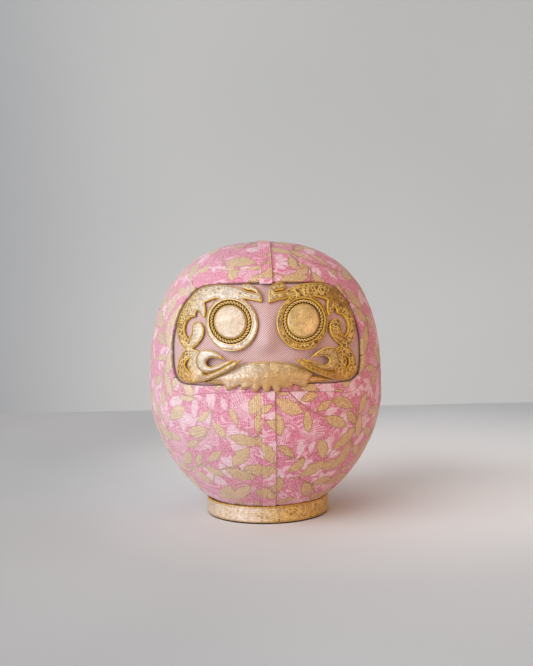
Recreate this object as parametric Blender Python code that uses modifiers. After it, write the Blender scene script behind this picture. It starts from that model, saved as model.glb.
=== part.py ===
"""Daruma doll: a papier-mache egg on a banded foot, covered with cloth, with a face of leather cut-outs.

Metres, +Z up. The origin is the centre of the foot on the ground and the face looks along -Y.
Every skin is an offset of one turned egg. A flat cut-out is drawn as the face is seen from the front,
in millimetres of x and z, and is then laid on the egg.
"""

import math

import bmesh
import bpy
import numpy as np
from mathutils import Vector

MM = 0.001
GAP = 0.3 * MM  # between pieces that touch

# The egg, measured to the outside of its cloth
EGG_RADIUS = 59.4 * MM
EGG_WAIST = 60.4 * MM  # height of the widest circle
EGG_TOP = 139.3 * MM
EGG_LOWER = 60.0 * MM  # depth of the lower half's curve below the waist
UPPER_POWERS = (2.84, 2.39)  # superellipse powers along z and along r
LOWER_POWERS = (1.6, 2.2)
SKIN_BOTTOM = 5.6 * MM  # where body and cloth end, inside the foot
SEGMENTS = 40
RINGS = 18
INNER_RINGS = 10

# Thicknesses, from the outside in
CLOTH = 0.8 * MM
BODY_WALL = 3.3 * MM
BALLAST_ROOM = 1.2 * MM  # between the body's coarse inside and the clay
FACE_RECESS = 1.6 * MM
FACE_CLOTH = 0.6 * MM
LEATHER = 1.5 * MM
THIN_LEATHER = 1.2 * MM
LEAF_LEATHER = 0.9 * MM
TUCK = 1.2 * MM  # how far the face cloth runs under the edge of its opening
TAIL_LIFT = 3.3 * MM  # how far the cheek's tails climb

# Nose
NOSE_HEIGHT = 3.0 * MM
NOSE_HALF_WIDTH = 5.0 * MM
NOSE_TOP = 116 * MM
NOSE_TIP = 94 * MM
NOSE_BASE = 87 * MM

# Eyes: centre and half sizes in x and z
EYE = (17.4 * MM, 103.3 * MM)
EYE_HOLE = (10.1 * MM, 10.2 * MM)
CORD_LINE = (9.0 * MM, 9.1 * MM)
CORD_RADIUS = 0.8 * MM
DISC = (7.9 * MM, 8.0 * MM)
DISC_RIM = 1.5 * MM
DISC_DOME = 0.8 * MM

# Tapes over the seams
TAPE_WIDTH = 6.3 * MM
TAPE = 0.7 * MM
TAPE_FOOT = 10.2 * MM
FRONT_TAPE_TOP = 70.0 * MM
CROWN_TAPE_END = 120.4 * MM

# Foot
SOLE_RADIUS = 31.0 * MM
SOLE = 0.7 * MM
BAND_RADIUS = 31.5 * MM
BAND = 1.3 * MM
BAND_TOP = 9.0 * MM
CORE_TOP = 5.2 * MM
BALLAST_TOP = 24 * MM

ROUND = "AUTO"
SHARP = "VECTOR"

# Right half of the face opening, from top centre to bottom centre
OPENING = [
    (0, 121.8, ROUND),
    (15, 121.6, ROUND),
    (27, 120.7, ROUND),
    (33.5, 118.6, ROUND),
    (37.6, 114.8, ROUND),
    (41.6, 109, ROUND),
    (44.8, 101, ROUND),
    (46.4, 94, ROUND),
    (46.6, 86, ROUND),
    (46.2, 79.8, ROUND),
    (44.8, 75.6, ROUND),
    (41.6, 73.2, ROUND),
    (36, 72.8, ROUND),
    (20, 73.5, ROUND),
    (0, 74.2, ROUND),
]
BROW_SEAM = [(35.6, 120.6, ROUND), (31.5, 126.2, ROUND), (16, 127.2, ROUND), (0, 127.5, ROUND)]
CHIN_SEAM = [(46.6, 72.6, ROUND), (42, 67.9, ROUND), (31, 68.9, ROUND), (18, 70.1, ROUND), (0, 70.6, ROUND)]

# Inner end of each eyebrow: from its lower corner up, round the curl and into the slit behind it
BROW_HEAD_RIGHT = [
    (1.0, 112.0, SHARP),
    (0.9, 115.6, ROUND),
    (1.7, 119.0, ROUND),
    (4.2, 121.0, ROUND),
    (7.2, 121.3, ROUND),
    (9.2, 120.2, ROUND),
    (8.6, 118.3, ROUND),
    (6.4, 117.8, ROUND),
    (4.2, 117.5, SHARP),
    (4.2, 116.7, SHARP),
]
BROW_HEAD_LEFT = [
    (2.2, 112.5, SHARP),
    (2.2, 115.8, ROUND),
    (4.0, 118.6, ROUND),
    (6.6, 120.2, ROUND),
    (9.4, 120.9, ROUND),
    (11.2, 120.0, ROUND),
    (9.6, 118.4, ROUND),
    (7.0, 118.0, ROUND),
    (4.9, 117.2, SHARP),
    (5.0, 116.6, SHARP),
]
# The rest of the cut-out: along the brow, down the temple, round the cheek, out along the tail and back
# past the neck, the temple's inner lobe, the crescent gap and the barb beside the eye, then round the eye
BROW_BODY = [
    (8.4, 117.3, ROUND),
    (13, 119.0, ROUND),
    (19, 120.3, ROUND),
    (26, 120.1, ROUND),
    (32.2, 118.2, ROUND),
    (36.6, 114.2, ROUND),
    (40.2, 109, ROUND),
    (42.8, 103, ROUND),
    (43.4, 97.5, ROUND),
    (42.0, 92.8, ROUND),
    (39.5, 89.6, SHARP),
    (41.6, 86.6, ROUND),
    (43.4, 81.5, ROUND),
    (43.2, 77.2, ROUND),
    (41.2, 74.9, ROUND),
    (37.5, 73.8, ROUND),
    (33, 74.5, ROUND),
    (28, 75.9, ROUND),
    (22, 78.6, ROUND),
    (16.3, 81.9, ROUND),
    (11.4, 86.2, SHARP),
    (17.5, 83.5, ROUND),
    (22, 80.8, ROUND),
    (27, 78.9, ROUND),
    (30.6, 79.2, ROUND),
    (31.4, 83.0, ROUND),
    (32.2, 88.6, ROUND),
    (36.0, 90.2, SHARP),
    (32.6, 93.4, ROUND),
    (30.4, 97.6, ROUND),
    (30.7, 101.4, ROUND),
    (33.4, 103.2, ROUND),
    (35.6, 101.8, ROUND),
    (36.0, 98, ROUND),
    (37.6, 94.4, SHARP),
    (39.4, 97, ROUND),
    (39.6, 100.6, ROUND),
    (37.6, 104.2, ROUND),
    (34.4, 105.6, SHARP),
    (33.4, 108.2, ROUND),
    (32.3, 107.6, ROUND),
    (31.2, 105.9, ROUND),
    (29.7, 105.2, SHARP),
    (29.2, 108.2, ROUND),
    (29.8, 112.2, SHARP),
    (26, 113.7, ROUND),
    (22.6, 114.4, SHARP),
    (26.4, 111.0, ROUND),
    (28.9, 105.8, ROUND),
    (29.1, 100.4, ROUND),
    (27.0, 95.3, ROUND),
    (22.6, 91.2, ROUND),
    (16.9, 89.8, ROUND),
    (11.2, 91.2, ROUND),
    (6.8, 95.3, ROUND),
    (4.6, 100.4, ROUND),
    (4.8, 105.4, ROUND),
    (7.2, 110.6, ROUND),
    (11.1, 114.2, SHARP),
    (6.0, 113.3, ROUND),
]
CHEEK_SLIT = [(37.0, 86.0, SHARP), (39.7, 82.4, ROUND), (36.9, 78.4, SHARP), (38.2, 82.3, ROUND)]
CHEEK_LOOP = [
    (19.4, 85.6, SHARP),
    (23.2, 88.5, ROUND),
    (28.0, 90.2, ROUND),
    (31.5, 89.3, ROUND),
    (33.3, 86, ROUND),
    (33.0, 82.4, ROUND),
    (30.8, 79.9, ROUND),
    (26.8, 79.5, ROUND),
    (22.2, 81.1, ROUND),
    (18.4, 83.3, ROUND),
    (14.7, 86.0, SHARP),
    (19.4, 84.7, ROUND),
    (23.8, 83.0, ROUND),
    (27.2, 82.2, ROUND),
    (28.8, 84.0, ROUND),
    (27.4, 85.9, ROUND),
    (23.4, 86.4, ROUND),
]
MOUSTACHE = [
    (-27, 75.9, SHARP),
    (-20.8, 79.8, ROUND),
    (-15.1, 82.4, ROUND),
    (-8.6, 84.2, ROUND),
    (0, 84.9, ROUND),
    (8.6, 84.1, ROUND),
    (15, 82.2, ROUND),
    (21.6, 79.2, SHARP),
    (19.2, 76.4, ROUND),
    (17.7, 72.3, SHARP),
    (11.4, 74.2, SHARP),
    (10.4, 71.8, SHARP),
    (5.9, 73.1, SHARP),
    (4.1, 70.4, ROUND),
    (1.4, 73.6, SHARP),
    (-0.9, 70.6, ROUND),
    (-3.2, 73.6, SHARP),
    (-6.6, 71.0, ROUND),
    (-8.0, 73.3, SHARP),
    (-12.4, 71.7, SHARP),
    (-12.9, 74.1, SHARP),
    (-19.3, 71.1, SHARP),
    (-21.2, 74.6, ROUND),
]
MOUTH_LEAF = [
    (-31.2, 74.4, SHARP),
    (-25, 76.8, ROUND),
    (0, 77.8, ROUND),
    (25, 76.8, ROUND),
    (31.2, 74.4, SHARP),
    (22, 73.9, ROUND),
    (0, 74.7, ROUND),
    (-22, 73.9, ROUND),
]

COLLECTIONS = {}


def smooth_step(value):
    t = min(max(value, 0.0), 1.0)
    return t * t * (3 - 2 * t)


# The egg


def egg_radius(z):
    """Outside radius of the cloth-covered egg at height z."""
    if z > EGG_WAIST:
        along, across = UPPER_POWERS
        rise = (z - EGG_WAIST) / (EGG_TOP - EGG_WAIST)
    else:
        along, across = LOWER_POWERS
        rise = (EGG_WAIST - z) / EGG_LOWER
    return EGG_RADIUS * max(1 - rise**along, 0.0) ** (1 / across)


def meridian(offset, lowest=SKIN_BOTTOM, highest=EGG_TOP, count=RINGS):
    """(radius, height) down the egg between two heights, in even steps, moved out by offset."""
    angles = np.linspace(math.pi / 2, 0, 600)
    upper = [EGG_RADIUS * np.cos(angles) ** (2 / UPPER_POWERS[1])]
    upper.append(EGG_WAIST + (EGG_TOP - EGG_WAIST) * np.sin(angles) ** (2 / UPPER_POWERS[0]))
    angles = angles[::-1][1:]
    lower = [EGG_RADIUS * np.cos(angles) ** (2 / LOWER_POWERS[1])]
    lower.append(EGG_WAIST - EGG_LOWER * np.sin(angles) ** (2 / LOWER_POWERS[0]))
    line = np.hstack([upper, lower]).T
    line[0, 0] = 0.0
    line = line[(line[:, 1] >= lowest - 1e-9) & (line[:, 1] <= highest + 1e-9)]
    steps = np.linalg.norm(np.diff(line, axis=0), axis=1)
    travelled = np.concatenate([[0.0], np.cumsum(steps)])
    tangent = np.gradient(line, axis=0)
    if highest >= EGG_TOP:
        tangent[0] = (1.0, 0.0)
    wanted = np.linspace(0, travelled[-1], count)
    line = np.column_stack([np.interp(wanted, travelled, line[:, k]) for k in (0, 1)])
    tangent = np.column_stack([np.interp(wanted, travelled, tangent[:, k]) for k in (0, 1)])
    tangent /= np.linalg.norm(tangent, axis=1)[:, None]
    return [(r - t[1] * offset, z + t[0] * offset) for (r, z), t in zip(line, tangent)]


def on_egg(x, z, height):
    """The point over (x, z) on the front of the egg, raised along the egg's normal."""
    step = 0.05 * MM
    radius = egg_radius(z)
    slope = (egg_radius(z + step) - egg_radius(z - step)) / (2 * step)
    y = -math.sqrt(radius**2 - x**2)
    normal = Vector((x, y, -radius * slope)).normalized()
    return Vector((x, y, z)) + normal * height


def nose(x, z):
    bridge = smooth_step((NOSE_TOP - z) / (NOSE_TOP - NOSE_TIP))
    underside = smooth_step((z - NOSE_BASE) / (NOSE_TIP - NOSE_BASE))
    return NOSE_HEIGHT * bridge * underside * math.exp(-((x / NOSE_HALF_WIDTH) ** 2))


def on_face(x, z, height):
    """The same on the recessed face, with its nose."""
    return on_egg(x, z, height + nose(x, z) - FACE_RECESS)


# Objects


def material(name, colour, roughness, metallic=0.0):
    found = bpy.data.materials.get(name)
    if found:
        return found
    made = bpy.data.materials.new(name)
    made.use_nodes = True
    shader = made.node_tree.nodes["Principled BSDF"]
    shader.inputs["Base Color"].default_value = (*colour, 1.0)
    shader.inputs["Roughness"].default_value = roughness
    shader.inputs["Metallic"].default_value = metallic
    return made


def paper_pulp():
    return material("paper_pulp", (0.62, 0.55, 0.45), 0.9)


def clay():
    return material("clay", (0.45, 0.32, 0.24), 0.95)


def wood():
    return material("wood", (0.55, 0.38, 0.22), 0.7)


def felt():
    return material("felt", (0.03, 0.025, 0.025), 0.95)


def printed_cloth():
    return material("printed_cloth", (0.75, 0.33, 0.42), 0.8)


def twill():
    return material("twill", (0.62, 0.42, 0.45), 0.5)


def gilt_leather():
    return material("gilt_leather", (0.72, 0.52, 0.25), 0.45, 0.6)


def gold_cord():
    return material("gold_cord", (0.70, 0.50, 0.20), 0.5, 0.4)


def place(obj, look, cutter=False):
    """Puts an object in its collection with its material, or makes it a cutter."""
    kind = "daruma_doll_cutters" if cutter else "daruma_doll"
    if kind not in COLLECTIONS:
        COLLECTIONS[kind] = bpy.data.collections.new(kind)
        bpy.context.scene.collection.children.link(COLLECTIONS[kind])
    COLLECTIONS[kind].objects.link(obj)
    if cutter:
        obj.hide_render = True
        obj.display_type = "WIRE"
    if look:
        obj.data.materials.append(look)
    return obj


def turned(name, profile, look):
    """Turns (radius, height) points, given down the outside, about the Z axis."""
    mesh = bpy.data.meshes.new(name)
    points = [(radius, 0, height) for radius, height in profile]
    mesh.from_pydata(points, [(k, k + 1) for k in range(len(points) - 1)], [])
    obj = place(bpy.data.objects.new(name, mesh), look)
    screw = obj.modifiers.new("turn", "SCREW")
    screw.steps = SEGMENTS
    screw.render_steps = SEGMENTS
    screw.use_merge_vertices = True
    screw.merge_threshold = 0.01 * MM
    screw.use_smooth_shade = True
    return obj


def cylinder(name, radius, low, high, look):
    mesh = bpy.data.meshes.new(name)
    bm = bmesh.new()
    bmesh.ops.create_cone(
        bm, cap_ends=True, segments=SEGMENTS, radius1=radius, radius2=radius, depth=high - low
    )
    bm.to_mesh(mesh)
    bm.free()
    mesh.shade_smooth()
    mesh.set_sharp_from_angle(angle=math.radians(40))
    obj = place(bpy.data.objects.new(name, mesh), look)
    obj.location.z = (low + high) / 2
    return obj


def cut(obj, cutter, operation="DIFFERENCE"):
    boolean = obj.modifiers.new(cutter.name, "BOOLEAN")
    boolean.operation = operation
    boolean.solver = "EXACT"
    boolean.object = cutter


# Flat outlines, in millimetres as seen from the front


def mirrored(half):
    """A closed outline from its right half, whose first and last points are on the centre line."""
    return half + [(-x, z, corner) for x, z, corner in half[-2:0:-1]]


def flipped(outline):
    return [(-x, z, corner) for x, z, corner in outline]


def grown(outline, by):
    """The outline moved outwards by a distance in millimetres."""
    count = len(outline)
    area = sum(
        outline[k - 1][0] * outline[k][1] - outline[k][0] * outline[k - 1][1] for k in range(count)
    )
    turn = math.copysign(by, area)
    moved = []
    for k, (x, z, corner) in enumerate(outline):
        before = outline[k - 1]
        after = outline[(k + 1) % count]
        along = Vector((after[0] - before[0], after[1] - before[1])).normalized()
        moved.append((x + along.y * turn, z - along.x * turn, corner))
    return moved


def ellipse(centre, half_sizes):
    """Four points of an ellipse, in millimetres."""
    x, z = (value / MM for value in centre)
    a, b = (value / MM for value in half_sizes)
    return [(x - a, z, ROUND), (x, z + b, ROUND), (x + a, z, ROUND), (x, z - b, ROUND)]


def flat_sheet(name, outlines, cell, steps):
    """A flat mesh of filled outlines, 1 mm thick about z = 0, cut into square cells and triangles."""
    curve = bpy.data.curves.new(name + "_outline", "CURVE")
    curve.dimensions = "2D"
    curve.fill_mode = "BOTH"
    curve.extrude = 0.5 * MM
    for outline in outlines:
        spline = curve.splines.new("BEZIER")
        spline.bezier_points.add(len(outline) - 1)
        spline.use_cyclic_u = True
        spline.resolution_u = steps
        for point, (x, z, corner) in zip(spline.bezier_points, outline):
            point.co = (x * MM, z * MM, 0)
            point.handle_left_type = corner
            point.handle_right_type = corner
    drawn = bpy.data.objects.new(name + "_outline", curve)
    bpy.context.scene.collection.objects.link(drawn)
    graph = bpy.context.evaluated_depsgraph_get()
    mesh = bpy.data.meshes.new_from_object(drawn.evaluated_get(graph))
    bpy.data.objects.remove(drawn)
    bpy.data.curves.remove(curve)
    bm = bmesh.new()
    bm.from_mesh(mesh)
    bmesh.ops.remove_doubles(bm, verts=bm.verts, dist=0.01 * MM)
    bmesh.ops.dissolve_limit(bm, angle_limit=math.radians(1), verts=bm.verts, edges=bm.edges)
    corners = [vertex.co.copy() for vertex in bm.verts]
    for axis in (0, 1):
        first = math.ceil(min(corner[axis] for corner in corners) / cell)
        last = math.floor(max(corner[axis] for corner in corners) / cell)
        normal = Vector([float(k == axis) for k in range(3)])
        for k in range(first, last + 1):
            everything = [*bm.verts, *bm.edges, *bm.faces]
            there = normal * k * cell
            bmesh.ops.bisect_plane(bm, geom=everything, plane_co=there, plane_no=normal, dist=0.02 * MM)
    bmesh.ops.remove_doubles(bm, verts=bm.verts, dist=0.04 * MM)
    bmesh.ops.dissolve_degenerate(bm, edges=bm.edges, dist=0.01 * MM)
    bmesh.ops.triangulate(bm, faces=bm.faces)
    bm.to_mesh(mesh)
    bm.free()
    return mesh


def laid(name, outlines, surface, base, thickness, look, cell=5 * MM, steps=3, cutter=False):
    """Lays filled outlines on a surface, from base up, both of which may vary over x and z."""
    mesh = flat_sheet(name, outlines, cell, steps)
    for vertex in mesh.vertices:
        x, z, side = vertex.co
        low = base(x, z) if callable(base) else base
        deep = thickness(x, z) if callable(thickness) else thickness
        vertex.co = surface(x, z, low + (deep if side > 0 else 0.0))
    bm = bmesh.new()
    bm.from_mesh(mesh)
    bmesh.ops.recalc_face_normals(bm, faces=bm.faces)
    bm.to_mesh(mesh)
    bm.free()
    mesh.shade_smooth()
    mesh.set_sharp_from_angle(angle=math.radians(40))
    return place(bpy.data.objects.new(name, mesh), look, cutter)


# Body and foot


def body():
    outer = meridian(-CLOTH - GAP)
    inner = meridian(-CLOTH - GAP - BODY_WALL, count=INNER_RINGS)
    shell = turned("body_shell", outer + inner[::-1], paper_pulp())
    depth = -FACE_CLOTH - GAP
    pocket = laid(
        "face_pocket",
        [grown(mirrored(OPENING), TUCK / MM + 0.8)],
        on_face,
        depth,
        8 * MM,
        None,
        cutter=True,
    )
    cut(shell, pocket)
    under = meridian(-CLOTH - GAP - BODY_WALL - BALLAST_ROOM, SKIN_BOTTOM + GAP, BALLAST_TOP, 5)
    crown = (0, under[0][1])
    turned("ballast_weight", [crown, *under, (0, under[-1][1])], clay())


def foot():
    cylinder("sole_pad", SOLE_RADIUS, 0.0, SOLE, felt())
    cylinder("foot_core", BAND_RADIUS - BAND - GAP, SOLE + GAP, CORE_TOP, wood())
    inner = BAND_RADIUS - BAND
    low = SOLE + GAP
    bevel = 0.4 * MM
    band = [
        (inner + bevel, BAND_TOP),
        (BAND_RADIUS - bevel, BAND_TOP),
        (BAND_RADIUS, BAND_TOP - bevel),
        (BAND_RADIUS, low + 3 * bevel),
        (BAND_RADIUS - bevel, low),
        (inner, low),
        (inner, BAND_TOP - bevel),
        (inner + bevel, BAND_TOP),
    ]
    turned("foot_band", band, gilt_leather())


# Cloth


def half_space(side):
    """A box over one side of the egg, short of the centre line by half a gap."""
    name = "half_" + ("right" if side > 0 else "left")
    mesh = bpy.data.meshes.new(name)
    bm = bmesh.new()
    bmesh.ops.create_cube(bm, size=0.2)
    bm.to_mesh(mesh)
    bm.free()
    box = place(bpy.data.objects.new(name, mesh), None, cutter=True)
    box.location = (side * (0.1 + GAP / 2), 0, 0.08)
    return box


def band_outline(seam):
    """A band between a seam and the edge of the opening on that side of the face."""
    level = sum(z for _, z, _ in seam) / len(seam)
    above = level > EYE[1] / MM
    edge = [p for p in OPENING if p[0] < seam[0][0] and (p[1] > 115 if above else p[1] < 76)]
    if above:
        half = seam[::-1] + edge[::-1]
    else:
        half = edge[::-1] + seam
    return mirrored(half)


def cloth():
    profile = meridian(0.0) + meridian(-CLOTH)[::-1]
    window = mirrored(OPENING)
    bands = {"brow_band": band_outline(BROW_SEAM), "chin_band": band_outline(CHIN_SEAM)}
    through = (-4 * MM, 8 * MM)
    cutters = [laid("opening", [window], on_egg, *through, None, cutter=True)]
    for name, outline in bands.items():
        wide = grown(outline, GAP / MM)
        cutters.append(laid(name + "_groove", [wide], on_egg, *through, None, cutter=True))
        laid(name, [outline], on_egg, -CLOTH, CLOTH, printed_cloth())
    for side, name in ((-1, "fabric_left"), (1, "fabric_right")):
        skin = turned(name, profile, printed_cloth())
        cut(skin, half_space(side), "INTERSECT")
        for cutter in cutters:
            cut(skin, cutter)
    under_edge = grown(window, TUCK / MM)
    laid("face_cloth", [under_edge], on_face, -FACE_CLOTH, FACE_CLOTH, twill())


def tape(name, line):
    """A tape laid along (y, z) points in the centre plane."""
    rows = [[(side * TAPE_WIDTH / 2, y, z) for side in (-1, 1)] for y, z in line]
    points = [point for row in rows for point in row]
    faces = [(2 * k, 2 * k + 1, 2 * k + 3, 2 * k + 2) for k in range(len(rows) - 1)]
    mesh = bpy.data.meshes.new(name)
    mesh.from_pydata(points, [], faces)
    mesh.shade_smooth()
    obj = place(bpy.data.objects.new(name, mesh), printed_cloth())
    thicken = obj.modifiers.new("thickness", "SOLIDIFY")
    thicken.thickness = TAPE
    thicken.offset = 1.0
    return obj


def tapes():
    front = [(-r, z) for r, z in meridian(GAP, TAPE_FOOT, FRONT_TAPE_TOP, 10)]
    tape("front_strip", front[::-1])
    over_face = [(-r, z) for r, z in meridian(GAP, CROWN_TAPE_END, EGG_TOP, 9)]
    behind = meridian(GAP, TAPE_FOOT, EGG_TOP, 24)
    tape("crown_strip", over_face[::-1] + behind[1:])


# Leather face


def eye(side, word):
    centre = (side * EYE[0], EYE[1])

    def dome(x, z):
        across = (x - centre[0]) / DISC[0]
        up = (z - centre[1]) / DISC[1]
        return DISC_RIM + DISC_DOME * max(1 - across**2 - up**2, 0.0)

    disc = [ellipse(centre, DISC)]
    laid("eye_disc_" + word, disc, on_face, GAP, dome, gilt_leather(), cell=3 * MM, steps=6)
    curve = bpy.data.curves.new("eye_cord_" + word, "CURVE")
    curve.dimensions = "3D"
    curve.bevel_depth = CORD_RADIUS
    curve.bevel_resolution = 2
    spline = curve.splines.new("POLY")
    count = 28
    spline.points.add(count - 1)
    spline.use_cyclic_u = True
    for k, point in enumerate(spline.points):
        angle = 2 * math.pi * k / count
        x = centre[0] + CORD_LINE[0] * math.cos(angle)
        z = centre[1] + CORD_LINE[1] * math.sin(angle)
        point.co = (*on_face(x, z, GAP + CORD_RADIUS), 1)
    place(bpy.data.objects.new("eye_cord_" + word, curve), gold_cord())


def scroll_base(x, z):
    """The cheek's tail climbs over the moustache and the loop's arm. The rest lies on the face cloth."""
    x = abs(x)
    inwards = smooth_step((34 * MM - x) / (8 * MM))
    below_loop = smooth_step((79.4 * MM - z) / (1.6 * MM))
    past_loop = smooth_step((29 * MM - x) / (3 * MM))
    past_loop *= smooth_step((92 * MM - z) / (4 * MM))
    return GAP + TAIL_LIFT * inwards * max(below_loop, past_loop)


def loop_base(x, z):
    return GAP + LEATHER + GAP


def moustache_base(x, z):
    """Its teeth hang over the chin band, and its top edge lies on the face cloth."""
    lowered = smooth_step((z - 77 * MM) / (6 * MM))
    return FACE_RECESS + GAP - (FACE_RECESS - 0.1 * MM) * lowered


def leather_face():
    heads = {"left": BROW_HEAD_LEFT, "right": BROW_HEAD_RIGHT}
    for side, word in ((-1, "left"), (1, "right")):
        scroll = [heads[word] + BROW_BODY, CHEEK_SLIT, ellipse(EYE, EYE_HOLE)]
        loop = [CHEEK_LOOP]
        if side < 0:
            scroll = [flipped(outline) for outline in scroll]
            loop = [flipped(outline) for outline in loop]
        laid("brow_scroll_" + word, scroll, on_face, scroll_base, LEATHER, gilt_leather())
        laid("cheek_loop_" + word, loop, on_face, loop_base, THIN_LEATHER, gilt_leather())
        eye(side, word)
    laid("moustache", [MOUSTACHE], on_face, moustache_base, THIN_LEATHER, gilt_leather())
    laid("mouth_leaf", [MOUTH_LEAF], on_face, GAP, LEAF_LEATHER, gilt_leather(), cell=7 * MM)


def main():
    for obj in list(bpy.data.objects):
        bpy.data.objects.remove(obj)
    body()
    foot()
    cloth()
    tapes()
    leather_face()


main()
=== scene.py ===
"""Looks of the daruma doll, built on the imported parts: printed brocade, satin twill and gilded leather.

Metres, +Z up, the face looks along -Y. The formulas and outlines of the shape are those of the part.
Left and right are the viewer's. Attributes that the materials read are in millimetres.
"""

import math
from collections import namedtuple

import bpy
import numpy as np
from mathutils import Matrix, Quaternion, Vector, kdtree, noise
from mathutils.geometry import delaunay_2d_cdt, interpolate_bezier


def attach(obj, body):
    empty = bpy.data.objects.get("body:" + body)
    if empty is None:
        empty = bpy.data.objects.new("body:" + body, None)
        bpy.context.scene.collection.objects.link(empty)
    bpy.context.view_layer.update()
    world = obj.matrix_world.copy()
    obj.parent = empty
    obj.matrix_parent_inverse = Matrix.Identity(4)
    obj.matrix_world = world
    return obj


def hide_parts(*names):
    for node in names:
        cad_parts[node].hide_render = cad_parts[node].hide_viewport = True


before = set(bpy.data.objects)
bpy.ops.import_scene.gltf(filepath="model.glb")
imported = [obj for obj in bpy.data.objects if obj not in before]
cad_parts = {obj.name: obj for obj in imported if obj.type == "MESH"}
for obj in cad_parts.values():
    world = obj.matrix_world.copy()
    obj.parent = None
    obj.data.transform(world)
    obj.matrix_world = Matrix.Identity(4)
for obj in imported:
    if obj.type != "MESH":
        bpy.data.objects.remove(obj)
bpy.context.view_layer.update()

MM = 0.001
TURN = 2 * math.pi

# The egg, as in the part
EGG_RADIUS = 59.4 * MM
EGG_WAIST = 60.4 * MM  # height of the widest circle
EGG_TOP = 139.3 * MM
EGG_LOWER = 60.0 * MM  # depth of the lower half's curve below the waist
UPPER_POWERS = (2.84, 2.39)  # superellipse powers along z and along r
LOWER_POWERS = (1.6, 2.2)
EGG_CENTRE = 72 * MM  # a point inside, which every part of the egg can be seen from
BEYOND_EGG = 110 * MM
HALVINGS = 26
MERIDIAN_SAMPLES = 900

# Thicknesses and heights over the face
GAP = 0.3 * MM
FACE_RECESS = 1.6 * MM
LEATHER = 1.5 * MM
THIN_LEATHER = 1.2 * MM
LEAF_LEATHER = 0.9 * MM
TUCK = 1.2 * MM  # how far the face cloth runs under the edge of its opening
TAIL_LIFT = 3.3 * MM  # how far the cheek's tails climb

# Nose
NOSE_HEIGHT = 3.0 * MM
NOSE_HALF_WIDTH = 5.0 * MM
NOSE_TOP = 116 * MM
NOSE_TIP = 94 * MM
NOSE_BASE = 87 * MM

# Eyes: centre and half sizes in x and z
EYE = (17.4 * MM, 103.3 * MM)
EYE_HOLE = (10.1 * MM, 10.2 * MM)
CORD_LINE = (9.0 * MM, 9.1 * MM)
CORD_RADIUS = 0.8 * MM
DISC = (7.9 * MM, 8.0 * MM)
DISC_RIM = 1.5 * MM
DISC_DOME = 0.8 * MM

# Tapes over the seams
TAPE_WIDTH = 6.3 * MM
TAPE = 0.7 * MM
FRONT_TAPE_TOP = 70.0 * MM
CROWN_TAPE_END = 120.4 * MM

# Foot
SOLE = 0.7 * MM
BAND_RADIUS = 31.5 * MM
BAND = 1.3 * MM
BAND_TOP = 9.0 * MM
BAND_COLUMNS = 560
TAPE_FOOT = BAND_TOP - 0.6 * MM  # inside the band's upper edge

# How the cloth ends at the opening and at the seams
FACE_CENTRE = 96.0 * MM  # height of the axis that the columns of cloth start round
LIP_ROWS = np.array([0.0, 0.06, 0.17, 0.32, 0.52, 0.8]) * MM
LIP_RADIUS = 0.62 * MM
SEAM_RADIUS = 0.55 * MM
WALL_DEPTH = 1.85 * MM
SEAM_DEPTH = 0.85 * MM
BAND_SUNK = 0.1 * MM
SKIN_END = 6.2 * MM  # inside the band
GATHERS = 0.16 * MM

# The print's motifs, before those without room are left out
GOLD_STARTS = 300
PALE_STARTS = 700

# In millimetres, as are the attributes that the materials read
FAR_OUTSIDE = -9.0
PUCKERS = 0.12
RING_STEP = 0.4
TWILL_MESH = 0.6
LEATHER_MESH = 0.42
LEATHER_INSETS = (0.1, 0.24, 0.5)
UNDERSIDE_MESH = 2.4
ROW_PITCH = 0.98
PICK_PITCH = 0.8
VEIN_PITCH = 1.15
STROKE_PITCH = 1.25
RIB_PITCH = 0.82

SHARP = "VECTOR"

# Outlines in millimetres of x and z, as in the part. A point is rounded over unless it is sharp
OPENING = [
    (0, 121.8), (15, 121.6), (27, 120.7), (33.5, 118.6), (37.6, 114.8), (41.6, 109), (44.8, 101),
    (46.4, 94), (46.6, 86), (46.2, 79.8), (44.8, 75.6), (41.6, 73.2), (36, 72.8), (20, 73.5), (0, 74.2),
]
BROW_SEAM = [(35.6, 120.6), (31.5, 126.2), (16, 127.2), (0, 127.5)]
CHIN_SEAM = [(46.6, 72.6), (42, 67.9), (31, 68.9), (18, 70.1), (0, 70.6)]
BROW_HEAD_RIGHT = [
    (1, 112, SHARP), (0.9, 115.6), (1.7, 119), (4.2, 121), (7.2, 121.3), (9.2, 120.2), (8.6, 118.3),
    (6.4, 117.8), (4.2, 117.5, SHARP), (4.2, 116.7, SHARP),
]
BROW_HEAD_LEFT = [
    (2.2, 112.5, SHARP), (2.2, 115.8), (4, 118.6), (6.6, 120.2), (9.4, 120.9), (11.2, 120), (9.6, 118.4),
    (7, 118), (4.9, 117.2, SHARP), (5, 116.6, SHARP),
]
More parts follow.
